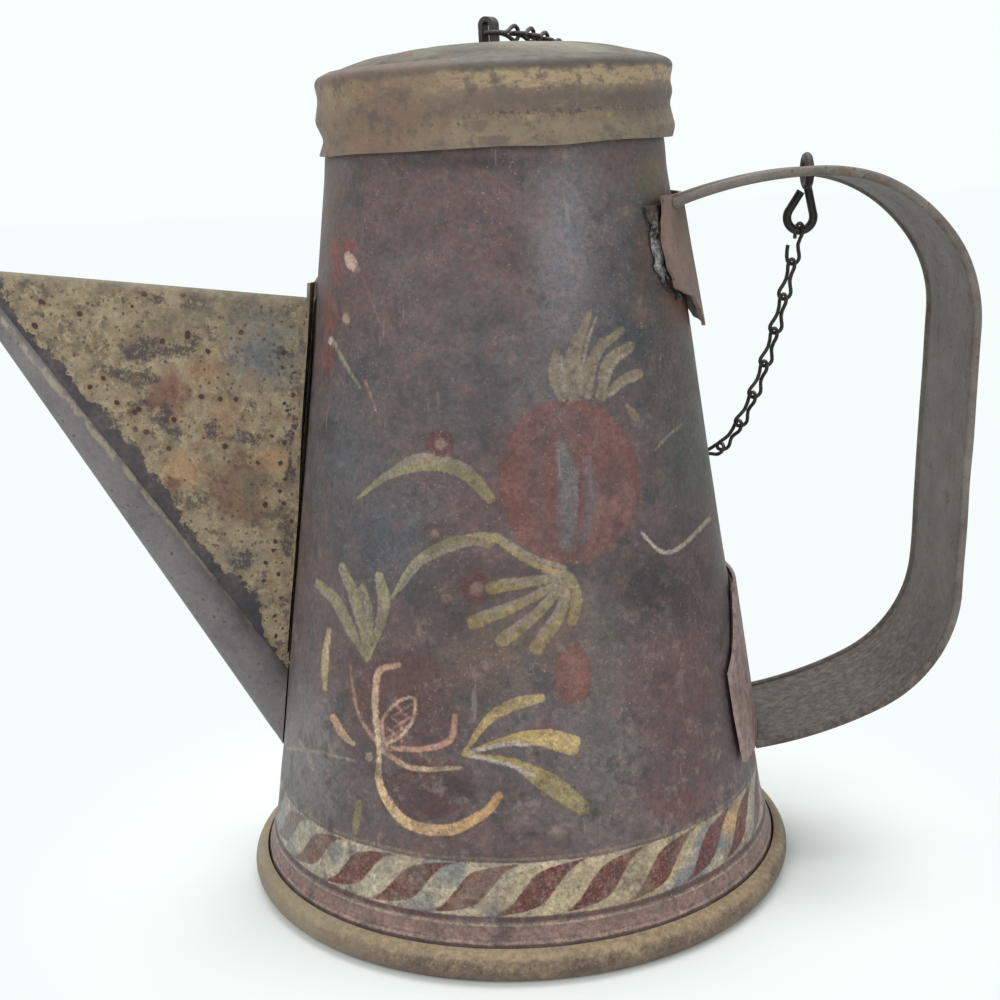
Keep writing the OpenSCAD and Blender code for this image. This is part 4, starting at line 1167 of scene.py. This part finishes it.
def cap_paint():
    """Olive paint, laid by height round the wall and by place on the dome; the handle's side is the paler. A painted
    highlight runs round the top of the wall and another lies on the dome; painted shade lies in a groove of the wall.
    """
    p = mottled("cap_paint", ((0.36, 82, 70, 62), (0.46, 106, 92, 78), (0.55, 124, 109, 88), (0.68, 140, 125, 100)),
                (160, 142, 108), (66, 56, 52), scale=1.2, seed=4)
    lift = p.plus(p.axis("X"), -math.tan(math.radians(CAP_TILT)), p.axis("Z"))
    sway = p.sway(p.noise(0.11, 7, 0.66, 17), 4.0)
    at = p.math("ADD", lift, sway)
    streaks = p.noise(0.35, 8, 0.7, 23, stretch=(1, 1, 2.2))
    east = p.step(p.axis("X"), -26.0, 4.0)
    # a darker, streaked band round the wall below its top, most on the handle's side
    dark_streaks = p.mul(p.band(at, 204.6, 206.6, 209.0, 211.4), p.step(streaks, 0.34, 0.54, 0.35, 1.0))
    p.coat(p.mul(dark_streaks, p.plus(east, 0.5, 0.25)), (92, 79, 75))
    # pale ochre line round the top of the wall: a painted highlight along the bead
    bead_highlight = p.mul(p.band(at, 210.8, 211.8, 214.2, 215.6), p.step(streaks, 0.38, 0.54, 0.2, 1))
    p.coat(p.mul(bead_highlight, p.plus(east, 0.6, 0.2)), (168, 147, 115))
    low = p.mul(p.below(at, 201.5, 205.0), p.step(streaks, 0.42, 0.6, 0.1, 0.8))
    p.coat(low, p.mix(east, (114, 95, 80), (122, 112, 95)))
    # painted shade in the groove of the wall, most on the handle's side
    groove_shade = p.mul(p.below(p.math("ABSOLUTE", p.math("SUBTRACT", at, 205.6)), 0.2, 0.9),
                   p.patch(0.9, 6, 0.75, 63, 0.50, 0.56))
    p.coat(p.mul(groove_shade, p.plus(east, 0.6, 0.15)), (62, 52, 50))
    # darker spots at four given places on the wall
    for px, py, wide, tall in ((494, 141, 4.5, 1.8), (478, 126, 2.2, 1.8), (352, 112, 3.5, 3.0), (395, 92, 5.0, 2.0)):
        dark_spot = p.math("ADD", p.far(on_plane_y(px, py, -CAP_R), (1 / wide, 0.05, 1 / tall)), p.sway(streaks, 2.5))
        p.coat(p.step(dark_spot, 0.5, 1.1, 0.6, 0), (84, 72, 66))
    west = p.mul(p.math("SUBTRACT", 1.0, east), p.patch(0.3, 8, 0.7, 67, 0.42, 0.6, 0.1, 0.7))
    p.coat(west, (122, 94, 78))
    p.coat(p.patch(0.17, 9, 0.7, 57, 0.52, 0.64, 0, 0.8), (88, 76, 70))
    dark = p.mul(p.step(at, 214.6, 216.0), p.plus(east, 0.45, 0.4))
    p.coat(dark, p.shade((76, 70, 66), streaks, 0.2))
    tops = p.ramp(p.noise(0.07, 7, 0.62, 37), (0.36, 62, 55, 47), (0.5, 80, 73, 61), (0.64, 96, 90, 75))
    tops = p.shade(tops, p.noise(0.9, 6, 0.7, 47), 0.12)
    # a painted highlight on the dome, towards the handle's side
    pale = p.step(p.far((15.0, -22.0, 0.0), (0.045, 0.07, 0.0)), 0.3, 1.0, 0.75, 0)
    tops = p.mix(pale, tops, (124, 119, 99))
    p.coat(p.below(p.math("ADD", p.from_axis(), p.mul(sway, 1.5)), 39.0, 43.0), tops)
    red = p.mul(p.below(p.spots(0.06, 33), 0.10, 0.16), p.step(at, 208.0, 212.0))
    p.coat(p.mul(red, 0.5), (132, 66, 54))
    return p.finish()


WEB_Y = -2.6
# Torn ovals of stain on the web: x, y, width and height in pixels, softness, colour, strength
WEB_STAINS = [
    (262, 352, 56, 64, 0.8, (92, 96, 99), 0.95), (240, 560, 54, 26, 0.9, (108, 106, 100), 0.6),
    (168, 328, 60, 34, 0.9, (98, 91, 78), 0.65), (202, 372, 28, 20, 0.9, (146, 106, 80), 0.75),
    (166, 396, 26, 44, 0.7, (104, 64, 58), 0.95), (182, 470, 36, 28, 0.9, (158, 118, 80), 0.8),
    (240, 486, 46, 56, 0.6, (102, 74, 61), 0.9), (250, 488, 20, 22, 0.8, (86, 90, 76), 0.8),
    (276, 460, 24, 20, 0.9, (156, 116, 80), 0.75), (222, 415, 30, 40, 0.9, (132, 98, 76), 0.75),
    (176, 484, 15, 13, 0.6, (88, 56, 50), 0.9), (198, 446, 20, 8, 0.7, (104, 76, 64), 0.7),
    (226, 312, 70, 26, 0.9, (108, 101, 90), 0.6),
]
# Torn ovals where the web's paint has flaked off: x, y, width and height in pixels
WEB_FLAKES = [
    (150, 350, 42, 12), (138, 376, 26, 13), (190, 345, 16, 10), (165, 418, 9, 22), (152, 300, 12, 8), (244, 437, 22, 9),
    (214, 432, 6, 14), (286, 352, 8, 12), (240, 566, 12, 7), (140, 405, 18, 10), (292, 428, 5, 26), (288, 472, 6, 18),
    (289, 534, 10, 30), (176, 432, 9, 9), (160, 425, 12, 7), (200, 560, 14, 6), (243, 556, 10, 8),
]


def web_paint():
    """Flaking cream paint: rust dots with stained rims, grey bare patches and a ragged dark margin by the spout."""
    p = Paint("web_paint", specular=0.35)
    mid, fine = p.noise(0.14, 8, 0.68, 5), p.noise(0.8, 7, 0.7, 9)
    p.colour = p.ramp(mid, (0.36, 88, 77, 66), (0.46, 122, 108, 88), (0.56, 142, 126, 101), (0.68, 142, 133, 117))
    shaken = p.vector("SUBTRACT", p.noise(0.12, 9.0, 0.72, output="Color"), (0.5, 0.5, 0.5))
    torn = p.vector("ADD", p.mm, p.vector("SCALE", shaken, scale=15.0))

    def zone(px, py, wide, tall, soft):
        """How far inside a torn oval each point lies, the oval given in pixels."""
        off = p.far(on_plane_y(px, py, WEB_Y), (PX_PER_MM / wide, 0.0, PX_PER_MM / tall), torn)
        return p.below(off, 1.0 - soft, 1.0)

    p.coat(p.patch(0.4, 9, 0.75, 45, 0.52, 0.57, 0, 0.65), (162, 146, 118))
    flaked = p.patch(0.33, 9, 0.76, 85, 0.56, 0.60, 0, 0.8)
    p.coat(flaked, (78, 71, 67))
    p.coat(p.patch(1.1, 5, 0.7, 131, 0.58, 0.65, 0, 0.7), (74, 63, 55))
    for px, py, wide, tall, soft, shade, much in WEB_STAINS:
        much = p.mul(zone(px, py, wide, tall, soft), p.step(mid, 0.34, 0.5, much, much * 0.75))
        p.coat(much, p.shade(shade, fine, 0.2))
    bits = p.patch(0.9, 7, 0.78, 141, 0.45, 0.52, 0.2, 1)
    p.coat(p.mul(p.below(p.spots(0.42, 13, 0.4), 0.12, 0.24), 0.75), (68, 55, 48))
    for px, py, wide, tall in WEB_FLAKES:
        flake = p.mul(zone(px, py, wide, tall, 0.35), bits)
        p.coat(p.mul(flake, 0.88), (66, 58, 60))
        flaked = p.math("MAXIMUM", flaked, flake)
    # rust dots, sparse on the web and close together in a strip by the flange
    dots = p.spots(0.2, 3, 0.2)
    seldom = p.patch(0.035, 3, 0.5, 95, 0.40, 0.52)
    p.coat(p.mul(p.below(dots, 0.20, 0.42), seldom, 0.45), (128, 98, 70))
    away = p.math("SUBTRACT", p.math("SUBTRACT", p.mul(p.axis("Z"), SLOPE), p.axis("X")), FOOT_R)
    strip = p.mul(p.band(away, 2.4, 4.0, 8.5, 11.5), p.below(p.axis("Z"), 147.0, 152.0))
    pit = p.math("MAXIMUM", p.mul(p.below(dots, 0.13, 0.19), seldom),
                 p.mul(p.below(p.spots(0.36, 23, 0.5), 0.20, 0.27), strip))
    p.coat(pit, (62, 46, 41))
    # the ragged margin, by the distance from the spout's upper edge
    ragged = p.sway(p.noise(0.22, 9, 0.75, 105), 12.0, p.beyond((150, 470), (300, 665), WEB_Y))
    ragged = p.sway(p.noise(0.045, 3, 0.5, 109), 16.0, ragged, 0.44)
    margin = p.below(ragged, 0.2, 0.7)
    p.coat(margin, p.ramp(p.noise(0.16, 8, 0.7, 115), (0.38, 56, 54, 58), (0.52, 68, 62, 64), (0.66, 88, 82, 80)))
    # the fold along the top
    top = on_plane_y(230, 293, WEB_Y)
    hem_slope = math.tan(math.radians(7.1))
    over = p.math("SUBTRACT", p.plus(p.axis("X"), hem_slope, p.axis("Z")), float(top[2] + hem_slope * top[0]))
    p.coat(p.step(over, -3.4, 0.4, 0, 0.75), p.ramp(mid, (0.4, 98, 90, 76), (0.6, 124, 116, 98)))
    p.dapple(fine, 0.15)
    p.height = p.plus(p.math("MAXIMUM", margin, flaked), -0.5, p.plus(pit, -0.7, p.mul(fine, 0.4)))
    p.rough = p.step(mid, 0.3, 0.7, 0.55, 0.78)
    return p.finish(0.00025)


def spout_paint():
    """Worn dark paint, with a pale line along the seam that is partly rubbed paint and partly a painted highlight."""
    p = mottled("spout_paint", ((0.34, 88, 81, 84), (0.48, 108, 102, 103), (0.6, 117, 112, 112), (0.72, 132, 128, 123)),
                (140, 132, 120), (70, 56, 54), seed=14, speck_at=(0.64, 0.74))
    # pale line along the seam: partly rubbed paint, partly a painted highlight where the tube's curve faces up
    side = p.math("ADD", p.beyond((161, 515), (234, 603), -5.0), p.sway(p.noise(0.2, 4, 0.6, 19), 1.6))
    scuff_and_highlight = p.mul(p.below(p.math("ABSOLUTE", side), 0.35, 1.1),
                  p.step(p.noise(0.35, 6, 0.7, 29, stretch=(1, 1, 0.4)), 0.44, 0.56, 0.1, 0.85))
    p.coat(scuff_and_highlight, (158, 148, 126))
    return p.finish()


def foot_paint():
    """Worn ochre paint, with a painted highlight on the hoop's crown and painted shade low down where it stands."""
    p = mottled("foot_paint", ((0.36, 64, 52, 47), (0.45, 94, 78, 67), (0.55, 117, 99, 82), (0.67, 146, 129, 104)),
                (158, 140, 108), (58, 46, 42), scale=1.5, seed=24, speck_at=(0.56, 0.66))
    at = p.math("ADD", p.axis("Z"), p.sway(p.noise(0.3, 7, 0.7, 25), 4.0))
    # painted highlight on the hoop's crown
    p.coat(p.mul(p.step(at, 5.8, 7.2), 0.65), (156, 138, 108))
    # painted shade on the hoop's lower part, where it stands
    p.coat(p.mul(p.below(at, 3.4, 5.4), 0.5), (96, 80, 70))
    p.dapple(p.noise(0.5, 8, 0.75, 26), 0.4)
    p.coat(p.step(p.axis("X"), -60.0, -25.0, 0.5, 0), (150, 138, 116))
    return p.finish()


def handle_paint():
    """Grey-brown paint, darker and rust-pitted towards the handle's lower end."""
    p = mottled("handle_paint", ((0.34, 80, 74, 70), (0.48, 102, 95, 88), (0.6, 114, 108, 100), (0.72, 132, 126, 118)),
                (140, 130, 114), (66, 54, 48), scale=1.2, seed=54, rust=(94, 78, 68))
    rusty = p.ramp(p.noise(0.5, 8, 0.72, 58), (0.36, 52, 43, 40), (0.5, 82, 72, 66), (0.64, 112, 102, 92))
    p.coat(p.step(p.axis("Z"), 52.0, 84.0, 0.85, 0), rusty)
    return p.finish()


def plate_paint():
    """Brown paint over rust, paler on the lower plate."""
    p = mottled("plate_paint", ((0.36, 88, 72, 66), (0.47, 110, 92, 84), (0.58, 126, 106, 96), (0.7, 142, 124, 114)),
                (150, 126, 106), (60, 46, 42), scale=1.4, seed=64, rust=(124, 84, 64))
    pale = p.ramp(p.noise(0.3, 7, 0.7, 68), (0.38, 112, 92, 88), (0.62, 164, 142, 136))
    p.coat(p.step(p.axis("Z"), 95.0, 125.0, 0.8, 0), pale)
    return p.finish()


def solder():
    """Torn solder: bright lumps along its broken edge, and painted shade in the gap under the tab."""
    p = mottled("solder", ((0.40, 24, 20, 20), (0.47, 56, 52, 50), (0.53, 140, 140, 138), (0.62, 196, 198, 196)),
                (206, 208, 206), (30, 26, 26), scale=3.2, seed=44, metallic=0.2, rough=(0.4, 0.6), bump=0.8)
    ends = p.math("MAXIMUM", p.below(p.axis("Z"), 161.0, 165.0), p.step(p.axis("Z"), 176.0, 180.0))
    p.coat(p.mul(ends, 0.75), (74, 58, 52))
    # painted shade in the gap under the tab
    p.coat(p.mul(p.attribute("tab_gap_shade")["Fac"], 0.93), (24, 19, 19))
    return p.finish()


MATERIALS = {
    "body_paint": body_paint(),
    "seam_paint": body_paint("seam_paint", painted=False),
    "cap_paint": cap_paint(),
    "web_paint": web_paint(),
    "spout_paint": spout_paint(),
    "foot_paint": foot_paint(),
    "bare_tin": mottled("bare_tin", ((0.35, 78, 72, 66), (0.5, 98, 92, 84), (0.68, 118, 112, 102)), (134, 126, 112),
                        (56, 48, 44), seed=34, metallic=0.35, rust=(96, 70, 54)).finish(),
    "solder": solder(),
    "handle_paint": handle_paint(),
    "plate_paint": plate_paint(),
    "iron_wire": mottled("iron_wire", ((0.35, 48, 44, 42), (0.5, 62, 57, 54), (0.66, 78, 73, 68)), (76, 70, 66),
                         (44, 39, 36), scale=1.6, seed=74, metallic=0.25, rough=(0.42, 0.62), bump=0.3).finish(),
}


def dress(obj, slot, body=None, *replaced):
    """Gives a piece its material and slot, and lets it ride and stand for its nodes."""
    obj.data.materials.clear()
    obj.data.materials.append(MATERIALS[slot])
    if body:
        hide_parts(*replaced)
        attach(obj, body)
    return obj


for part in frame["record"]["subparts"]:
    if part["node"] in nodes:
        dress(nodes[part["node"]], part["material_slot"])
dress(nodes["side_seam"], "seam_paint")

dress(make_body(), "body_paint", "can", "body_shell")
for made, slots, body, names in (
        (make_cap(), ("cap_paint",) * 2, "cap", ("cap_band", "cap_top")),
        (make_handle(), ("handle_paint",) * 3, "can", ("handle_strap", "handle_hem_front", "handle_hem_back")),
        (make_tab(), ("plate_paint", "solder"), "can", ("upper_tab", "upper_tab_solder"))):
    for piece, slot, name in zip(made, slots, names):
        dress(piece, slot, body, name)
dress(make_flange(), "web_paint", "can", "gusset_flange_front")
make_chain(MATERIALS["iron_wire"])


# Floor, light and camera

def make_floor():
    """A pale floor that turns into the bare background some way from the can, for all but diffuse light."""
    size, fade_from, fade_to = 4.0, 64.0, 150.0
    points = np.array([(-size, -size, 0), (size, -size, 0), (size, size, 0), (-size, size, 0)]) / MM
    floor = make_object("floor", points, [[0, 1, 2, 3]])
    p = Paint("floor_pale", specular=0.1)
    p.colour, p.rough = p.ramp(p.noise(0.02, 3, 0.5), (0.3, 240, 246, 243), (0.7, 243, 249, 246)), 0.9
    p.finish()
    glow = p.add("ShaderNodeEmission")
    p.put(glow.inputs["Color"], (246, 253, 252))
    light = p.add("ShaderNodeLightPath").outputs
    seen = p.math("MAXIMUM", light["Is Glossy Ray"], light["Is Transmission Ray"])
    seen = p.math("MAXIMUM", light["Is Camera Ray"], seen)
    blend = p.add("ShaderNodeMixShader")
    bare = p.mul(p.step(p.from_axis(), fade_from, fade_to), seen)
    for socket, value in zip(blend.inputs, (bare, p.shader.outputs[0], glow.outputs[0])):
        p.put(socket, value)
    p.put(p.tree.nodes["Material Output"].inputs["Surface"], blend.outputs[0])
    floor.data.materials.append(p.material)


def make_lamp(name, at, target, size, watts):
    """A round lamp at a place, turned to its target, in metres."""
    data = bpy.data.lights.new(name, "AREA")
    data.shape = "DISK"
    data.size = size
    data.energy = watts
    lamp = bpy.data.objects.new(name, data)
    lamp.location = at
    lamp.rotation_euler = (Vector(target) - Vector(at)).to_track_quat("-Z", "Y").to_euler()
    bpy.context.scene.collection.objects.link(lamp)


def make_world():
    """Even light for the can, and the pale background for the camera and in reflections."""
    world = bpy.data.worlds.new("studio")
    bpy.context.scene.world = world
    world.use_nodes = True
    tree = world.node_tree
    shown, lit = tree.nodes["Background"], tree.nodes.new("ShaderNodeBackground")
    for node, colour, strength in ((shown, linear((247, 254, 253)), 1.0), (lit, (0.96, 0.98, 1.0), 0.52)):
        node.inputs["Color"].default_value = (*colour, 1)
        node.inputs["Strength"].default_value = strength
    path = tree.nodes.new("ShaderNodeLightPath").outputs
    mix, either = tree.nodes.new("ShaderNodeMixShader"), tree.nodes.new("ShaderNodeMath")
    either.operation = "MAXIMUM"
    for source, socket in (
            (path["Is Camera Ray"], either.inputs[0]), (path["Is Glossy Ray"], either.inputs[1]),
            (either.outputs[0], mix.inputs[0]), (lit.outputs[0], mix.inputs[1]), (shown.outputs[0], mix.inputs[2]),
            (mix.outputs[0], tree.nodes["World Output"].inputs["Surface"])):
        tree.links.new(source, socket)


def make_camera():
    """The camera that shows the can as the photograph does."""
    data = bpy.data.cameras.new("camera")
    data.sensor_width = 36.0
    data.lens = 36.0 * FOCAL_PX / (2 * HALF_PX)
    data.clip_start, data.clip_end = 0.01, 20.0
    camera = bpy.data.objects.new("camera", data)
    turn = Matrix([[CAM_R[i], CAM_U[i], -CAM_W[i]] for i in range(3)]).to_4x4()
    camera.matrix_world = Matrix.Translation(Vector(CAM_AT * MM)) @ turn
    bpy.context.scene.collection.objects.link(camera)
    bpy.context.scene.camera = camera


make_floor()
make_world()
make_lamp("key", (-0.55, -0.95, 0.85), (0, 0, 0.1), 0.9, 6.0)
make_lamp("fill", (0.8, -0.8, 0.55), (0, 0, 0.1), 0.9, 2.0)
make_lamp("overhead", (0.1, 0.3, 1.3), (0, 0.1, 0.0), 1.4, 15.0)
make_camera()
bpy.context.scene.view_settings.view_transform = "Standard"
